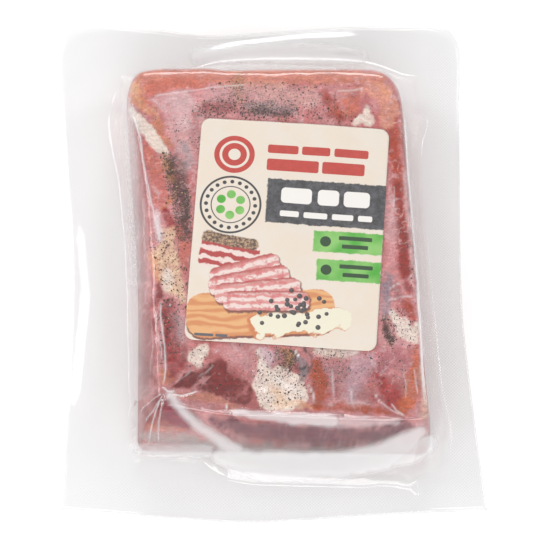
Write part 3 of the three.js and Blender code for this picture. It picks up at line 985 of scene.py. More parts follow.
class Finish:
    """A material's nodes, with short ways to add what the finishes here are made of."""

    def __init__(self, name):
        self.material = bpy.data.materials.new(name)
        self.material.use_nodes = True
        self.tree = self.material.node_tree
        self.tree.nodes.clear()
        place = self.node("ShaderNodeTexCoord").outputs["Object"]
        self.place = self.vector("SCALE", place, scale=1 / MM)

    def node(self, kind, **settings):
        made = self.tree.nodes.new(kind)
        for name, value in settings.items():
            setattr(made, name, value)
        return made

    def feed(self, socket, value):
        """Links a node's output to a socket, or sets the socket to a number or numbers."""
        if isinstance(value, bpy.types.NodeSocket):
            self.tree.links.new(value, socket)
        elif value is not None:
            socket.default_value = value

    def math(self, operation, first, second=None, third=None, clamp=False):
        made = self.node("ShaderNodeMath", operation=operation, use_clamp=clamp)
        for socket, value in zip(made.inputs, (first, second, third)):
            self.feed(socket, value)
        return made.outputs[0]

    def vector(self, operation, first, second=None, scale=None):
        made = self.node("ShaderNodeVectorMath", operation=operation)
        self.feed(made.inputs[0], first)
        self.feed(made.inputs[1], second)
        if scale is not None:
            made.inputs["Scale"].default_value = scale
        return made.outputs["Value" if operation == "DISTANCE" else "Vector"]

    def split(self, vector):
        """A vector's x and y."""
        made = self.node("ShaderNodeSeparateXYZ")
        self.feed(made.inputs[0], vector)
        return made.outputs[0], made.outputs[1]

    def stored(self, name, output="Fac"):
        return self.node("ShaderNodeAttribute", attribute_name=name).outputs[output]

    def noise(self, pitch, detail=2.0, roughness=0.5, at=None, squash=None, output="Fac"):
        """Noise from 0 to 1 with its bumps about pitch millimetres apart."""
        where = self.place if at is None else at
        if squash:
            where = self.vector("MULTIPLY", where, squash)
        made = self.node("ShaderNodeTexNoise")
        self.feed(made.inputs["Vector"], where)
        made.inputs["Scale"].default_value = 1 / pitch
        made.inputs["Detail"].default_value = detail
        made.inputs["Roughness"].default_value = roughness
        return made.outputs[output]

    def step(self, value, low, high, bottom=0.0, top=1.0):
        """A smooth step from bottom to top as value goes from low to high."""
        made = self.node("ShaderNodeMapRange", interpolation_type="SMOOTHSTEP")
        for socket, number in zip(made.inputs, (value, low, high, bottom, top)):
            self.feed(socket, number)
        return made.outputs[0]

    def mix(self, share, first, second, blend="MIX"):
        """Two colours, the second by share."""
        made = self.node("ShaderNodeMix", data_type="RGBA", blend_type=blend)
        self.feed(made.inputs["Factor"], share)
        for name, value in (("A", first), ("B", second)):
            socket = next(s for s in made.inputs if s.name == name and s.type == "RGBA")
            self.feed(socket, rgba(value) if not isinstance(value, bpy.types.NodeSocket) else value)
        return next(s for s in made.outputs if s.type == "RGBA")

    def bump(self, height, strength, distance):
        made = self.node("ShaderNodeBump")
        made.inputs["Strength"].default_value = strength
        made.inputs["Distance"].default_value = distance * MM
        self.feed(made.inputs["Height"], height)
        return made.outputs[0]

    def shader(self, kind, **inputs):
        """A shader, its inputs named with an underscore for each space."""
        made = self.node(kind)
        for name, value in inputs.items():
            self.feed(made.inputs[name.replace("_", " ")], value)
        return made.outputs[0]

    def blend(self, share, first, second):
        made = self.node("ShaderNodeMixShader")
        self.feed(made.inputs[0], share)
        self.feed(made.inputs[1], first)
        self.feed(made.inputs[2], second)
        return made.outputs[0]

    def finish(self, surface):
        output = self.node("ShaderNodeOutputMaterial")
        self.feed(output.inputs["Surface"], surface)
        return self.material


def rgba(colour):
    """A colour given as it looks on screen, from 0 to 1, as Blender's linear colour."""
    linear = [c / 12.92 if c <= 0.04045 else ((c + 0.055) / 1.055) ** 2.4 for c in colour]
    return (*linear, 1.0)


# The red, green and blue that the film adds to what is seen through it, and its share let through.
FILM_LIFT = (0.072, 0.08, 0.092)
FILM_PASS = 0.96


def bare(colour):
    """The colour that a thing must have for it to look like this under the film."""
    seen = np.array(rgba(colour)[:3])
    return np.clip((seen - FILM_LIFT) / FILM_PASS, 0.008, 0.95)


def meat_finish(colours):
    """Cured lean and fat in the colours stored on the slab, with fine grain and ground pepper."""
    f = Finish("cured_meat")
    tint, pepper = f.stored("tint", "Color"), f.stored("pepper")
    grain = f.step(f.noise(0.9, 4, 0.65), 0.25, 0.75, 0.76, 1.16)
    combined = f.node("ShaderNodeCombineXYZ")
    for socket in combined.inputs:
        f.feed(socket, grain)
    body = f.mix(1.0, tint, combined.outputs[0], "MULTIPLY")
    bloom = f.noise(0.55, 4, 0.7, squash=(1.0, 0.7, 1.0))
    body = f.mix(f.step(bloom, 0.52, 0.72, 0, 0.55), body, colours.bloom, "OVERLAY")
    threads = f.noise(2.2, 4, 0.7, squash=(0.45, 1.6, 1.0))
    body = f.mix(f.step(threads, 0.52, 0.62, 0, 0.34), body, colours.fat_thread, "OVERLAY")
    pieces = f.math("MULTIPLY_ADD", f.noise(0.8, 3, 0.75), 0.75, f.math("MULTIPLY", pepper, 0.3))
    body = f.mix(f.step(pieces, 0.6, 0.76, 0, 0.75), body, colours.pepper_dust)
    crumbs = f.math("MULTIPLY_ADD", f.noise(0.7, 2, 0.6), 0.8, f.math("MULTIPLY", pepper, 0.14))
    body = f.mix(f.step(crumbs, 0.66, 0.72, 0, 0.8), body, colours.pepper_tan)
    surface = f.shader(
        "ShaderNodeBsdfPrincipled",
        Base_Color=body,
        Roughness=0.42,
        Specular_IOR_Level=0.35,
        Normal=f.bump(f.noise(1.1, 3, 0.6), 0.3, 0.25),
    )
    return f.finish(surface)


def pepper_finish(colours):
    """Black, brown and tan grains, by the tone stored on each."""
    f = Finish("pepper")
    tone = f.stored("tone")
    dark = f.mix(f.step(tone, 0.0, 0.7), colours.pepper_black, colours.pepper_brown)
    colour = f.mix(f.step(tone, 0.8, 0.9), dark, colours.pepper_tan)
    colour = f.mix(f.math("MULTIPLY", f.noise(0.25, 2), 0.35), colour, colours.pepper_brown)
    surface = f.shader(
        "ShaderNodeBsdfPrincipled",
        Base_Color=colour,
        Roughness=0.6,
        Normal=f.bump(f.noise(0.2, 2), 0.5, 0.1),
    )
    return f.finish(surface)


SEAL_PITCH = 1.4  # from one pip of the seal's pattern to the next


def film_finish(colours):
    """Clear glossy film, milky where it is sealed, creased or hazed, and where painted highlights,
    reflections, light and sheen are laid on it as milkiness.
    """
    f = Finish("clear_film")
    haze_and_painted_light, painted_sheen, seal = (f.stored(n) for n in ("haze_and_painted_light", "painted_sheen", "seal"))
    threads = f.noise(1.0, 3, 0.6)
    # the painted sheen of the small wrinkles, broken up by a fine noise
    painted_sheen = f.math("MULTIPLY", painted_sheen, f.step(threads, 0.35, 0.7, 0.4, 1.4))
    x, y = f.split(f.vector("SCALE", f.place, scale=2 * math.pi / SEAL_PITCH))
    weave = f.math("MULTIPLY", f.math("SINE", x), f.math("SINE", y))
    weave = f.math("MULTIPLY", weave, seal)
    milk = f.math("MULTIPLY_ADD", weave, 0.07, haze_and_painted_light)
    share = f.math("ADD", milk, painted_sheen, clamp=True)
    wrinkle = f.math("MULTIPLY_ADD", weave, 0.3, f.noise(4.5, 2, 0.5))
    normal = f.bump(wrinkle, 0.16, 0.3)
    clear = f.shader("ShaderNodeBsdfTransparent", Color=rgba(colours.film_tint))
    gloss = f.shader("ShaderNodeBsdfGlossy", Color=(1, 1, 1, 1), Roughness=0.11, Normal=normal)
    slant = f.node("ShaderNodeLayerWeight")
    f.feed(slant.inputs["Normal"], normal)
    edgeways = f.math("POWER", slant.outputs["Facing"], 5)
    shine = f.math("MULTIPLY_ADD", edgeways, 0.4, 0.06, clamp=True)
    milky = f.shader(
        "ShaderNodeBsdfPrincipled",
        Base_Color=rgba(colours.film_milk),
        Roughness=0.3,
        Normal=normal,
    )
    return f.finish(f.blend(share, f.blend(shine, clear, gloss), milky))


# The label's print: fields of colour and plain shapes, in millimetres from the label's middle.
# Bars are the middle's x and y, the width and the height.
ROUNDEL = (-25, 34)
DISC_RING = (-25, 11)
RED_BARS = (
    (-4.5, 37.6, 13, 3.8),
    (9.5, 37.6, 12, 3.8),
    (24.5, 37.6, 14.5, 3.8),
    (0, 30.4, 22, 5.4),
    (21.5, 30.4, 18, 5.4),
)
UPPER_LIGHT_BARS = ((2.5, 16.8, 13, 7), (16, 16.8, 9, 7), (28, 16.8, 11, 7))
LOWER_LIGHT_BARS = ((0, 8.4, 8, 2.6), (11, 8.4, 10, 2.6), (22.5, 8.4, 9, 2.6), (32, 8.4, 6, 2.6))
GREEN_BARS = ((25.5, -2.8, 29, 9.4), (26.5, -15.4, 27, 9.4))
FOOT_BARS = ((-32, -47.4, 8, 1.2), (-24.6, -47.4, 5, 1.2))
SLICES = (  # and how many degrees each is turned
    (-17, -18, 30, 8.6, 19),
    (-15, -22.4, 34, 8.6, 14),
    (-11, -26.6, 36, 8.6, 9),
    (-7, -31, 36, 8.6, 4),
)


def label_finish(colours):
    """Coated paper with a printed design of bars, rings, a board, striped slices and dots."""
    f = Finish("label_paper")
    place = f.stored("print_place", "Vector")

    def frayed(pitch, reach):
        """The place, shifted this way and that, so that what is printed there has a rough edge."""
        shift = f.vector("SUBTRACT", f.noise(pitch, 3, at=place, output="Color"), (0.5, 0.5, 0.5))
        return f.vector("ADD", place, f.vector("SCALE", shift, scale=reach))

    ragged, torn = frayed(2, 1.6), frayed(6, 9)

    def parts(where, cx, cy, turn=0.0):
        """The place across and along something with this middle, turned by these degrees."""
        moved = f.node("ShaderNodeMapping", vector_type="TEXTURE")
        f.feed(moved.inputs["Vector"], where)
        moved.inputs["Location"].default_value = (cx, cy, 0)
        moved.inputs["Rotation"].default_value = (0, 0, math.radians(turn))
        return f.split(moved.outputs[0])

    def bar(where, cx, cy, width, height, turn=0.0, corner=0.4, soft=0.12):
        x, y = parts(where, cx, cy, turn)
        dx = f.math("MAXIMUM", f.math("SUBTRACT", f.math("ABSOLUTE", x), width / 2 - corner), 0)
        dy = f.math("MAXIMUM", f.math("SUBTRACT", f.math("ABSOLUTE", y), height / 2 - corner), 0)
        away = f.math("SQRT", f.math("MULTIPLY_ADD", dx, dx, f.math("MULTIPLY", dy, dy)))
        return f.step(f.math("SUBTRACT", away, corner), -soft, soft, 1, 0)

    def disc(where, cx, cy, radius, soft=0.12):
        away = f.vector("DISTANCE", where, (cx, cy, 0))
        return f.step(away, radius - soft, radius + soft, 1, 0)

    def ring(where, cx, cy, radius, width, soft=0.12):
        away = f.math("ABSOLUTE", f.math("SUBTRACT", f.vector("DISTANCE", where, (cx, cy, 0)), radius))
        return f.step(away, width / 2 - soft, width / 2 + soft, 1, 0)

    def around(count, radius, first=0.0):
        """The places of things evenly spaced round the ring of discs."""
        turns = [(i + first) * 2 * math.pi / count for i in range(count)]
        cx, cy = DISC_RING
        return [(cx + radius * math.cos(turn), cy + radius * math.sin(turn)) for turn in turns]

    tone = f.noise(14, 3, 0.6, at=place)
    ink = f.mix(f.step(tone, 0.3, 0.7), colours.paper, colours.paper_warm)
    # the head: a roundel and two rows of bars in red
    red = f.mix(f.noise(3, 2, at=place), colours.print_red, colours.print_red_dark)
    ink = f.mix(disc(place, *ROUNDEL, 8.6), ink, red)
    ink = f.mix(ring(place, *ROUNDEL, 5.8, 1.1), ink, colours.paper)
    ink = f.mix(disc(place, *ROUNDEL, 2.6), ink, colours.paper)
    for shape in RED_BARS:
        ink = f.mix(bar(place, *shape, corner=0.9), ink, red)
    # the dark band, out to the label's right edge, with light bars
    slate = f.mix(f.step(f.noise(3, 4, 0.7, at=place), 0.35, 0.7), colours.print_dark, colours.print_slate)
    ink = f.mix(bar(ragged, 18, 14, 56, 20, soft=0.25), ink, slate)
    for shape in UPPER_LIGHT_BARS:
        ink = f.mix(bar(place, *shape, corner=1.8), ink, colours.paper_white)
    for shape in LOWER_LIGHT_BARS:
        ink = f.mix(bar(place, *shape, corner=0.7), ink, colours.paper_white)
    # the ring of discs
    ink = f.mix(ring(place, *DISC_RING, 12.6, 0.9), ink, colours.print_dark)
    ink = f.mix(ring(place, *DISC_RING, 8.2, 0.45), ink, colours.print_dark)
    for spot in around(20, 10.4):
        ink = f.mix(disc(place, *spot, 0.85), ink, colours.print_dark)
    green = f.mix(f.step(f.noise(12, 2, at=place), 0.3, 0.7), colours.print_green, colours.print_leaf)
    for spot in around(6, 4.7, 0.5):
        ink = f.mix(disc(place, *spot, 1.9), ink, green)
    # two green bars with dark dashes
    for cx, cy, width, height in GREEN_BARS:
        ink = f.mix(bar(ragged, cx, cy, width, height, soft=0.3), ink, green)
        ink = f.mix(disc(place, cx - 9.5, cy, 2.3), ink, colours.print_pine)
        for row, dash in ((1.9, 14), (-1.8, 11)):
            ink = f.mix(bar(place, cx + 3, cy + row, dash, 1.8), ink, colours.print_pine)
    # the board with its grain, and a sheet on it
    _, along = parts(place, -8, -36, 6)
    knots = f.noise(10, 3, at=place, squash=(0.35, 1, 1))
    rings = f.math("MULTIPLY_ADD", knots, 22, f.math("MULTIPLY", along, 1.6))
    wood = f.mix(f.step(f.math("SINE", rings), -0.8, 1.0, 0, 0.75), colours.board, colours.board_dark)
    ink = f.mix(bar(ragged, -9, -37.6, 62, 19.5, 6, 7, 0.3), ink, colours.slice_edge)
    ink = f.mix(bar(ragged, -9, -36.6, 62, 19.5, 6, 7, 0.3), ink, wood)
    ink = f.mix(bar(torn, 7, -39.6, 42, 10.4, 9, 4, 0.5), ink, colours.board_dark)
    ink = f.mix(bar(torn, 8, -39.4, 41, 9.8, 9, 4, 0.3), ink, colours.sheet)
    # a block, dark on top, behind striped slices, each lying over the last
    _, along = parts(ragged, -25, -9, -8)
    wavy = f.math("MULTIPLY_ADD", f.noise(5, 3, at=place), 6.0, f.math("MULTIPLY", along, 1.5))
    stripe = f.math("SINE", wavy)
    block = f.mix(f.step(stripe, -0.3, 0.6), colours.slice_red, colours.slice_pale)
    ink = f.mix(bar(ragged, -24, -11.6, 25, 14, -8, 3, 0.3), ink, block)
    crust = f.mix(f.step(f.noise(1.2, 3, 0.7, at=place), 0.4, 0.65), colours.crust, colours.pepper_tan)
    ink = f.mix(bar(ragged, -24, -5.2, 24, 5, -8, 2, 0.4), ink, crust)
    for i, (cx, cy, width, height, turn) in enumerate(SLICES):
        _, along = parts(ragged, cx, cy, turn)
        wavy = f.math("MULTIPLY_ADD", f.noise(7, 3, at=place), 3.2, along)
        stripe = f.step(f.math("SINE", f.math("MULTIPLY", wavy, 1.7 + 0.15 * i)), -0.4, 0.8)
        slice_ink = f.mix(stripe, colours.slice_pale, colours.slice_pink)
        blotch = f.step(f.noise(3.4, 3, 0.65, at=place), 0.5, 0.62, 0, 0.75)
        slice_ink = f.mix(blotch, slice_ink, colours.slice_rose)
        slice_ink = f.mix(f.step(along, 2.4, 4.0, 0, 0.9), slice_ink, colours.slice_red)
        shade = bar(ragged, cx + 0.5, cy - 0.8, width + 0.4, height + 0.6, turn, 3.4, 0.5)
        ink = f.mix(shade, ink, colours.slice_edge)
        ink = f.mix(bar(ragged, cx, cy, width, height, turn, 3.4, 0.2), ink, slice_ink)
    # loose peppercorns
    chance = np.random.default_rng(7)
    for i in range(34):
        x, y = chance.normal(9, 9), chance.normal(-35, 4.6)
        spot = (min(max(x, -30), 36), min(max(y, -45), -22))
        size = 0.85 + 0.3 * chance.random()
        ink = f.mix(disc(place, *spot, size), ink, colours.corn)
        ink = f.mix(disc(place, spot[0] - 0.3, spot[1] + 0.3, 0.4, 0.25), ink, colours.print_slate)
    # a small line at the foot
    for shape in FOOT_BARS:
        ink = f.mix(bar(place, *shape), ink, colours.print_slate)
    speck = f.math("MULTIPLY", f.noise(0.5, 2, at=place), 0.12)
    ink = f.mix(speck, ink, colours.paper_white)
    ink = f.mix(1.0, ink, colours.print_dulling, "MULTIPLY")
    surface = f.shader(
        "ShaderNodeBsdfPrincipled",
        Base_Color=ink,
        Roughness=f.step(f.noise(8, 2, at=place), 0.3, 0.7, 0.32, 0.42),
        Normal=f.bump(f.noise(1.2, 3, 0.6, at=place), 0.12, 0.12),
    )
    return f.finish(surface)


def floor_finish(colours):
    """A plain, nearly white floor."""
    f = Finish("pale_floor")
    colour = f.mix(f.noise(60, 2), (1.0, 1.0, 1.0), colours.floor)
    return f.finish(f.shader("ShaderNodeBsdfPrincipled", Base_Color=colour, Roughness=0.8))


# ---------------------------------------------------------------------------------------------
# Settings


def length(name, description, default):
    return FloatProperty(name=name, description=description, default=default, unit="LENGTH", precision=5)


def colour(name, description, default):
    """A colour setting, given as red, green and blue from 0 to 255."""
    return FloatVectorProperty(
        name=name,
        description=description,
        default=tuple(level / 255 for level in default),
        subtype="COLOR_GAMMA",
        min=0.0,
        max=1.0,
    )


class PorkPackSizes(bpy.types.PropertyGroup):
    slab_height: length("Slab height", "Thickness of the meat at its brow", 0.038)
    middle_rise: length("Middle rise", "How much higher the middle of the slab is than its brow", 0.0013)
    film_gap: length("Film gap", "Between the slab's skin and the film", 0.0004)
    web_gap: length("Web thickness", "Of the two sealed webs of the flange", 0.00035)
    film_fine: length("Fine mesh", "Mesh spacing where the film is creased", 0.00048)
    film_coarse: length("Coarse mesh", "Mesh spacing elsewhere on the film", 0.00098)
    slab_mesh: length("Slab mesh", "Mesh spacing on the slab", 0.0005)
    label_width: length("Label width", "Across the label", 0.08)
    label_height: length("Label height", "Along the label", 0.1)
    label_corner: length("Label corner", "Radius of the label's corners", 0.004)
    label_thickness: length("Label thickness", "Of the paper", 0.00018)
    grains: IntProperty(name="Pepper grains", description="Loose grains on the slab", default=5400)
    grain_size: length("Grain size", "Usual size across of a grain", 0.00044)


class MeatColours(bpy.types.PropertyGroup):
    """The slab's colours as they look under the film."""

    lean: colour("Lean", "Cured lean", (194, 126, 128))
    lean_red: colour("Lean, red", "Redder lean", (158, 84, 82))
    mauve: colour("Mauve", "Greyer lean", (210, 156, 160))
    mauve_red: colour("Mauve, red", "Greyer lean, redder", (190, 130, 138))
    # lilac, lilac red and lilac dark lie where the film's small wrinkles reflect soft light: partly the
    # lean's own cold tone, partly painted sheen
    lilac: colour("Lilac", "Cold pale lean", (205, 172, 184))
    lilac_red: colour("Lilac, red", "Cold pale lean, redder", (212, 160, 158))
    lilac_dark: colour("Lilac, dark", "Cold grey lean", (150, 128, 142))
    purple: colour("Purple", "Dark cold lean", (158, 98, 104))
    pale: colour("Pale", "Whitish lean", (226, 196, 200))
    salmon: colour("Salmon", "Pinkish orange", (202, 128, 118))
    band: colour("Band", "The back edge", (207, 142, 130))
    strip: colour("Strip", "The right edge", (176, 98, 92))
    strip_dark: colour("Strip, dark", "The right edge, darker", (146, 70, 68))
    orange: colour("Orange", "Cured corner", (224, 164, 134))
    bright_orange: colour("Bright orange", "Cured corner, brighter", (212, 124, 98))
    browned: colour("Browned", "Cured edge", (206, 142, 118))
    browned_red: colour("Browned, red", "Cured edge, redder", (186, 106, 92))
    red_brown: colour("Red brown", "Dark cured lean", (172, 92, 86))
    marbled: colour("Marbled", "Mixed lean and fat", (218, 158, 144))
    pink: colour("Pink", "Fold of skin", (208, 146, 134))
    deep: colour("Deep", "Deep red", (138, 66, 64))
    blood: colour("Blood", "Deepest red", (134, 46, 38))
    blood_soft: colour("Blood, soft", "Deep red, softer", (176, 82, 80))
    fat: colour("Fat", "White fat", (231, 215, 206))
    cream: colour("Cream", "Cream fat", (228, 196, 172))
    white: colour("White", "Whitest fat", (240, 232, 228))
    grey: colour("Grey", "Greyed surface", (164, 148, 154))
    charcoal: colour("Charcoal", "Dark smear", (98, 86, 90))
    dark: colour("Dark", "Shadowed fold", (58, 42, 40))
    spice: colour("Spice", "Thick ground spice", (104, 72, 54))
    spice_tan: colour("Spice, tan", "Thinner ground spice", (194, 148, 118))
    wall_pink: colour("Wall, pink", "The left wall", (172, 118, 122))
    wall_red: colour("Wall, red", "The left wall, redder", (152, 80, 86))
    wall_mauve: colour("Wall, mauve", "The front wall at the left", (150, 84, 102))
    # partly the front wall's own red, partly painted shade
    front_wall_in_shade: colour("Wall, dark", "The front wall", (130, 66, 96))
    wall_grey: colour("Wall, grey", "The front wall's foot", (188, 174, 174))


class PackColours(bpy.types.PropertyGroup):
    pepper_dust: colour("Pepper dust", "Fine ground pepper", (66, 50, 44))
    pepper_black: colour("Pepper, black", "Peppercorn skin", (26, 20, 20))
    pepper_brown: colour("Pepper, brown", "Brown grains", (78, 50, 36))
    pepper_tan: colour("Pepper, tan", "The inside of broken grains", (202, 164, 130))
    bloom: colour("Bloom", "Fine pale specks on the meat", (234, 218, 218))
    fat_thread: colour("Fat threads", "Fine threads of fat in the lean", (245, 232, 226))
    film_tint: colour("Film", "What the clear film lets through", (251, 251, 251))
    film_milk: colour("Film haze", "The film where it is milky", (243, 243, 244))
    paper: colour("Paper", "Label paper", (238, 228, 214))
    paper_warm: colour("Paper, warm", "Label paper, warmer", (240, 224, 206))
    paper_white: colour("Paper, white", "The lightest print", (248, 244, 238))
    print_red: colour("Red print", "The head's bars", (212, 70, 56))
    print_red_dark: colour("Red print, dark", "The head's bars", (180, 46, 40))
    print_dark: colour("Dark print", "The band", (52, 52, 56))
    print_slate: colour("Slate print", "The band, lighter", (92, 92, 98))
    print_green: colour("Green print", "The green bars", (66, 172, 40))
    print_leaf: colour("Green print, pale", "The green bars, paler", (142, 204, 108))
    print_pine: colour("Dark green print", "The dashes", (20, 66, 26))
    board: colour("Board", "The printed board", (238, 180, 122))
    board_dark: colour("Board, dark", "Its grain", (214, 128, 76))
    sheet: colour("Sheet", "The printed sheet", (244, 238, 214))
    slice_pale: colour("Slice, pale", "Fat of the printed slices", (244, 222, 214))
    slice_pink: colour("Slice, pink", "Lean of the printed slices", (226, 152, 148))
    slice_rose: colour("Slice, rose", "Blotches on the printed slices", (216, 110, 112))
    slice_red: colour("Slice, red", "Rind side of the printed slices", (184, 62, 60))
    slice_edge: colour("Slice edge", "Their shaded edge", (132, 74, 62))
    crust: colour("Crust", "The printed block's top", (84, 62, 52))
    corn: colour("Peppercorn", "The printed peppercorns", (70, 62, 62))
    print_dulling: colour("Print dulling", "How much the paper dulls its print", (233, 233, 234))
    floor: colour("Floor", "The pale floor", (252, 252, 252))


# ---------------------------------------------------------------------------------------------
# Operators


class OBJECT_OT_pork_slab(bpy.types.Operator):
    """Add the slab of cured meat"""

    bl_idname = "object.pork_slab"
    bl_label = "Add Slab"

    def execute(self, context):
        sizes, colours = context.scene.pork_pack_sizes, context.scene.pork_pack_meat
        pitch = sizes.slab_mesh / MM
        bm, u, v = grid_sheet(*(graded(span, (), pitch, pitch) for span in SLAB_SPAN))
        at = stretch(foot_sides(), u, v)
        x, y = at[:, 0], at[:, 1]
        lowest = SLAB_UNDER + SLAB_RIM
        z = np.maximum(slab_height(x, y, sizes.slab_height / MM, sizes.middle_rise / MM), lowest)
        rim = np.array([vert.is_boundary for vert in bm.verts])
        z = np.where(rim, lowest, z)
        place(bm, x, y, z)
        seen = y - TILT * (LEVEL - z)
        palette = {name: bare(getattr(colours, name)) for name in colours.__annotations__}
        paint(bm, "tint", slab_tint(x, seen, palette))
        paint(bm, "pepper", strength_of(x, seen, PEPPER))
        close_below(bm, [lambda co: Vector((co.x * 0.99, co.y * 0.99, SLAB_UNDER * MM))])
        material = meat_finish(context.scene.pork_pack_colours)
        add_piece(context, "cured_slab", bm, material, "cured_meat", "vacuum_pack")
        return {"FINISHED"}


class OBJECT_OT_pork_pepper(bpy.types.Operator):
    """Scatter the ground pepper on the slab"""

    bl_idname = "object.pork_pepper"
    bl_label = "Scatter Pepper"

    def execute(self, context):
        sizes, colours = context.scene.pork_pack_sizes, context.scene.pork_pack_colours
        chance = np.random.default_rng(17)
        tries = 30 * sizes.grains
        x, y = (chance.uniform(*span, tries) for span in PEPPER_SPAN)
        density = strength_of(x, y, PEPPER)
        clump = 0.5 + 0.5 * ripple(x, y, 2.2, 81)
        density = 0.85 * density * (0.3 + clump) + PEPPER_EVERYWHERE
        density[signed_distance(rounded(BROW), x, y) > 3] = 0
        kept = np.flatnonzero(chance.random(tries) < density)[: sizes.grains]
        z = slab_height(x[kept], y[kept], sizes.slab_height / MM, sizes.middle_rise / MM)
        size = sizes.grain_size * np.exp(chance.normal(-0.1, 0.4, len(kept)))
        whole, batch, bm = bmesh.new(), bpy.data.meshes.new("batch"), bmesh.new()
        tone = bm.verts.layers.float.new("tone")
        for i, radius in zip(range(len(kept)), np.minimum(size, 2.2 * sizes.grain_size) / 2):
            if i % 100 == 99:  # a small mesh takes new grains faster
                bm.to_mesh(batch)
                whole.from_mesh(batch)
                bm.clear()
                tone = bm.verts.layers.float.new("tone")
            turn = Euler(chance.uniform(0, 2 * math.pi, 3)).to_matrix().to_4x4()
            shape = Matrix.Diagonal((*(radius * chance.uniform((0.7, 0.5, 0.35), (1.4, 1.0, 0.7))), 1))
            tilt = Euler((*chance.normal(0, 0.3, 2), chance.uniform(0, 2 * math.pi))).to_matrix().to_4x4()
            spot = Matrix.Translation((x[kept[i]] * MM, y[kept[i]] * MM, z[i] * MM + radius * 0.2))
            matrix = spot @ tilt @ shape @ turn
            made = bmesh.ops.create_icosphere(bm, subdivisions=1, radius=1, matrix=matrix)
            shade = chance.random()
            for vert in made["verts"]:
                vert[tone] = shade
        bm.to_mesh(batch)
        bm.free()
        whole.from_mesh(batch)
        bpy.data.meshes.remove(batch)
        add_piece(context, "pepper_grains", whole, pepper_finish(colours), "pepper")
        return {"FINISHED"}


class OBJECT_OT_pork_film(bpy.types.Operator):
    """Add the two webs of film, drawn down on the slab and sealed round it"""

    bl_idname = "object.pork_film"
    bl_label = "Add Film"

    def execute(self, context):
        sizes, colours = context.scene.pork_pack_sizes, context.scene.pork_pack_colours
        fine, coarse = sizes.film_fine / MM, sizes.film_coarse / MM
        across = graded(FILM_SPAN[0], CREASED_X, fine, coarse)
        along = graded(FILM_SPAN[1], CREASED_Y, fine, coarse)
        bm, u, v = grid_sheet(across, along)
        at = stretch(flange_sides(), u, v)
        x, y = at[:, 0], at[:, 1]
        film = film_shape(sizes)
        z = film.read(x, y)
        reach = 0.3
        slope_x = (film.read(x + reach, y) - film.read(x - reach, y)) / (2 * reach)
        slope_y = (film.read(x, y + reach) - film.read(x, y - reach)) / (2 * reach)
        steep = np.sqrt(1 + slope_x**2 + slope_y**2)
        # crest: the creases' milkiness, partly the film's whitening and partly a painted highlight
        rise, crest = creases(x, y)
        place(bm, x - rise * slope_x / steep, y - rise * slope_y / steep, z + rise / steep)
        self.paint_film(bm, x, y, z, crest * smooth(9, 4, steep), sizes)
        thick = sizes.web_gap / MM

        def under(inset):
            """The flange's underside, drawn in by a share of the way to the middle."""

            def move(co):
                cx, cy = co.x / MM * (1 - inset), co.y / MM * (1 - inset)
                low = flange_height(np.array([cx]), np.array([cy]), thick)[0] - thick
                return Vector((cx * MM, cy * MM, low * MM))

            return move

        rings = [under(0), under(0.03), under(0.06), under(0.1)]
        rings.append(lambda co: Vector((co.x * 0.95, co.y * 0.95, 0)))
        close_below(bm, rings, ("haze_and_painted_light", "painted_sheen", "seal"))
        add_piece(context, "film_webs", bm, film_finish(colours), "film", "vacuum_pack")
        return {"FINISHED"}

    def paint_film(self, bm, x, y, z, crest, sizes):
        """Where the film is milky, where it carries painted highlights, reflections, light and the painted
        sheen of small wrinkles, and where it is sealed.
        """
        slab = slab_height(x, y, sizes.slab_height / MM, sizes.middle_rise / MM)
        flange = smooth(7, 1.5, z) * (slab <= 0)
        # painted highlights, reflections and light on the film, laid in as milkiness
        white = strength_of(x, y - TILT * (LEVEL - z), FILM_PAINTED_LIGHT)
        # the film's own haze, more on the flange, with the creases' whitening and highlights and the
        # painted highlights, reflections and light
        haze_and_painted_light = 0.018 + 0.11 * flange + np.maximum(crest, white)
        edge = -signed_distance(np.vstack(flange_sides()), x, y)
        seal = smooth(16, 12, edge) * smooth(2, 4, edge)
        seal = seal * np.maximum(smooth(60, 80, x), smooth(-92, -100, y))
        paint(bm, "haze_and_painted_light", np.clip(haze_and_painted_light, 0, 1))
        # painted sheen: the soft light reflected by the film's small wrinkles
        paint(bm, "painted_sheen", 0.1 * strength_of(x, y, PAINTED_SHEEN_PATCHES) * (1 - flange))
        paint(bm, "seal", seal)


class OBJECT_OT_pork_label(bpy.types.Operator):
    """Add the paper label, following the film on top of the slab"""

    bl_idname = "object.pork_label"
    bl_label = "Add Label"

    def execute(self, context):
        sizes, colours = context.scene.pork_pack_sizes, context.scene.pork_pack_colours
        width, height = sizes.label_width / MM, sizes.label_height / MM
        bm, u, v = grid_sheet(*(graded(span, (), LABEL_MESH, LABEL_MESH) for span in (width, height)))
        across, along = round_corner(u * width - width / 2, v * height - height / 2, sizes)
        turn = math.radians(LABEL_TURN)
        x = LABEL_PLACE[0] + across * math.cos(turn) - along * math.sin(turn)
        y = LABEL_PLACE[1] + across * math.sin(turn) + along * math.cos(turn)
        film = film_shape(sizes)
        near = [film.read(x + dx, y + dy) for dx in (-3, 0, 3) for dy in (-3, 0, 3)]
        z = np.maximum(np.mean(near, axis=0), film.read(x, y)) + LABEL_GAP
        place(bm, x, y, z)
        paint(bm, "print_place", np.column_stack((across, along, 0 * along)))
        made = bmesh.ops.extrude_face_region(bm, geom=bm.faces[:])["geom"]
        for vert in (part for part in made if isinstance(part, bmesh.types.BMVert)):
            vert.co.z += sizes.label_thickness
        bmesh.ops.recalc_face_normals(bm, faces=bm.faces)
        add_piece(context, "paper_label", bm, label_finish(colours), "label_paper", "label")
        return {"FINISHED"}


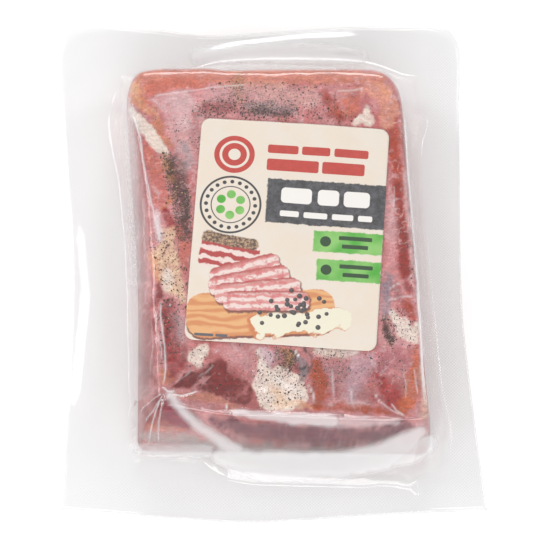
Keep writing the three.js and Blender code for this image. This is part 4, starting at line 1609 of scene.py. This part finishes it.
def round_corner(across, along, sizes):
    """Turns the square corners of the label's grid into round ones."""
    radius = sizes.label_corner / MM
    dx = np.maximum(np.abs(across) - sizes.label_width / MM / 2 + radius, 0)
    dy = np.maximum(np.abs(along) - sizes.label_height / MM / 2 + radius, 0)
    far = np.hypot(dx, dy)
    pull_in = np.where(far > 0, np.maximum(dx, dy) / np.maximum(far, 1e-9) - 1, 0)
    return across + np.sign(across) * dx * pull_in, along + np.sign(along) * dy * pull_in


class OBJECT_OT_pork_stage(bpy.types.Operator):
    """Add the floor, the lights and the camera"""

    bl_idname = "object.pork_stage"
    bl_label = "Set Stage"

    def execute(self, context):
        scene, colours = context.scene, context.scene.pork_pack_colours
        scene.view_settings.view_transform = "Standard"
        scene.view_settings.look = "None"
        self.add_floor(context, colours)
        self.add_world(scene)
        for softbox in SOFTBOXES:
            self.add_softbox(context, *softbox)
        self.add_camera(context)
        return {"FINISHED"}

    def add_floor(self, context, colours):
        bm = bmesh.new()
        bmesh.ops.create_grid(bm, x_segments=8, y_segments=8, size=3.0)
        bmesh.ops.translate(bm, verts=bm.verts, vec=(0, 0, -0.2 * MM))
        mesh = bpy.data.meshes.new("floor")
        bm.to_mesh(mesh)
        bm.free()
        floor = bpy.data.objects.new("floor", mesh)
        context.collection.objects.link(floor)
        mesh.materials.append(floor_finish(colours))

    def add_world(self, scene):
        world = bpy.data.worlds.new("studio")
        world.use_nodes = True
        background = world.node_tree.nodes["Background"]
        background.inputs["Color"].default_value = (1, 1, 1, 1)
        background.inputs["Strength"].default_value = WORLD_BRIGHTNESS
        scene.world = world

    def add_softbox(self, context, name, place, across, along, brightness):
        light = bpy.data.lights.new(name, "AREA")
        light.shape = "RECTANGLE"
        light.size, light.size_y = across, along
        light.energy = brightness * math.pi * across * along
        box = bpy.data.objects.new(name, light)
        box.location = place
        box.rotation_euler = (-Vector(place)).to_track_quat("-Z", "Y").to_euler()
        context.collection.objects.link(box)

    def add_camera(self, context):
        lens = bpy.data.cameras.new("camera")
        lens.lens, lens.sensor_width = CAMERA_LENS, 36
        lens.clip_start, lens.clip_end = 0.05, 20
        camera = bpy.data.objects.new("camera", lens)
        elevation = math.radians(CAMERA_ELEVATION)
        back = Vector((0, -math.cos(elevation), math.sin(elevation)))
        camera.location = Vector(CAMERA_AIM) * MM + back * CAMERA_DISTANCE
        camera.rotation_euler = (-back).to_track_quat("-Z", "Y").to_euler()
        context.collection.objects.link(camera)
        context.scene.camera = camera


class VIEW3D_PT_pork_pack(bpy.types.Panel):
    """The pack's pieces and settings"""

    bl_label = "Pork Pack"
    bl_idname = "VIEW3D_PT_pork_pack"
    bl_space_type = "VIEW_3D"
    bl_region_type = "UI"
    bl_category = "Pork Pack"

    def draw(self, context):
        layout, scene = self.layout, context.scene
        for operator in OPERATORS:
            layout.operator(operator.bl_idname)
        for settings in (scene.pork_pack_sizes, scene.pork_pack_meat, scene.pork_pack_colours):
            for name in settings.__annotations__:
                layout.prop(settings, name)


OPERATORS = (
    OBJECT_OT_pork_slab,
    OBJECT_OT_pork_pepper,
    OBJECT_OT_pork_film,
    OBJECT_OT_pork_label,
    OBJECT_OT_pork_stage,
)
CLASSES = (PorkPackSizes, MeatColours, PackColours, *OPERATORS, VIEW3D_PT_pork_pack)


def register():
    for cls in CLASSES:
        bpy.utils.register_class(cls)
    bpy.types.Scene.pork_pack_sizes = PointerProperty(type=PorkPackSizes)
    bpy.types.Scene.pork_pack_meat = PointerProperty(type=MeatColours)
    bpy.types.Scene.pork_pack_colours = PointerProperty(type=PackColours)


def unregister():
    del bpy.types.Scene.pork_pack_colours
    del bpy.types.Scene.pork_pack_meat
    del bpy.types.Scene.pork_pack_sizes
    for cls in reversed(CLASSES):
        bpy.utils.unregister_class(cls)


def main():
    register()
    bpy.ops.object.pork_slab()
    bpy.ops.object.pork_pepper()
    bpy.ops.object.pork_film()
    bpy.ops.object.pork_label()
    bpy.ops.object.pork_stage()


if __name__ == "__main__":
    main()
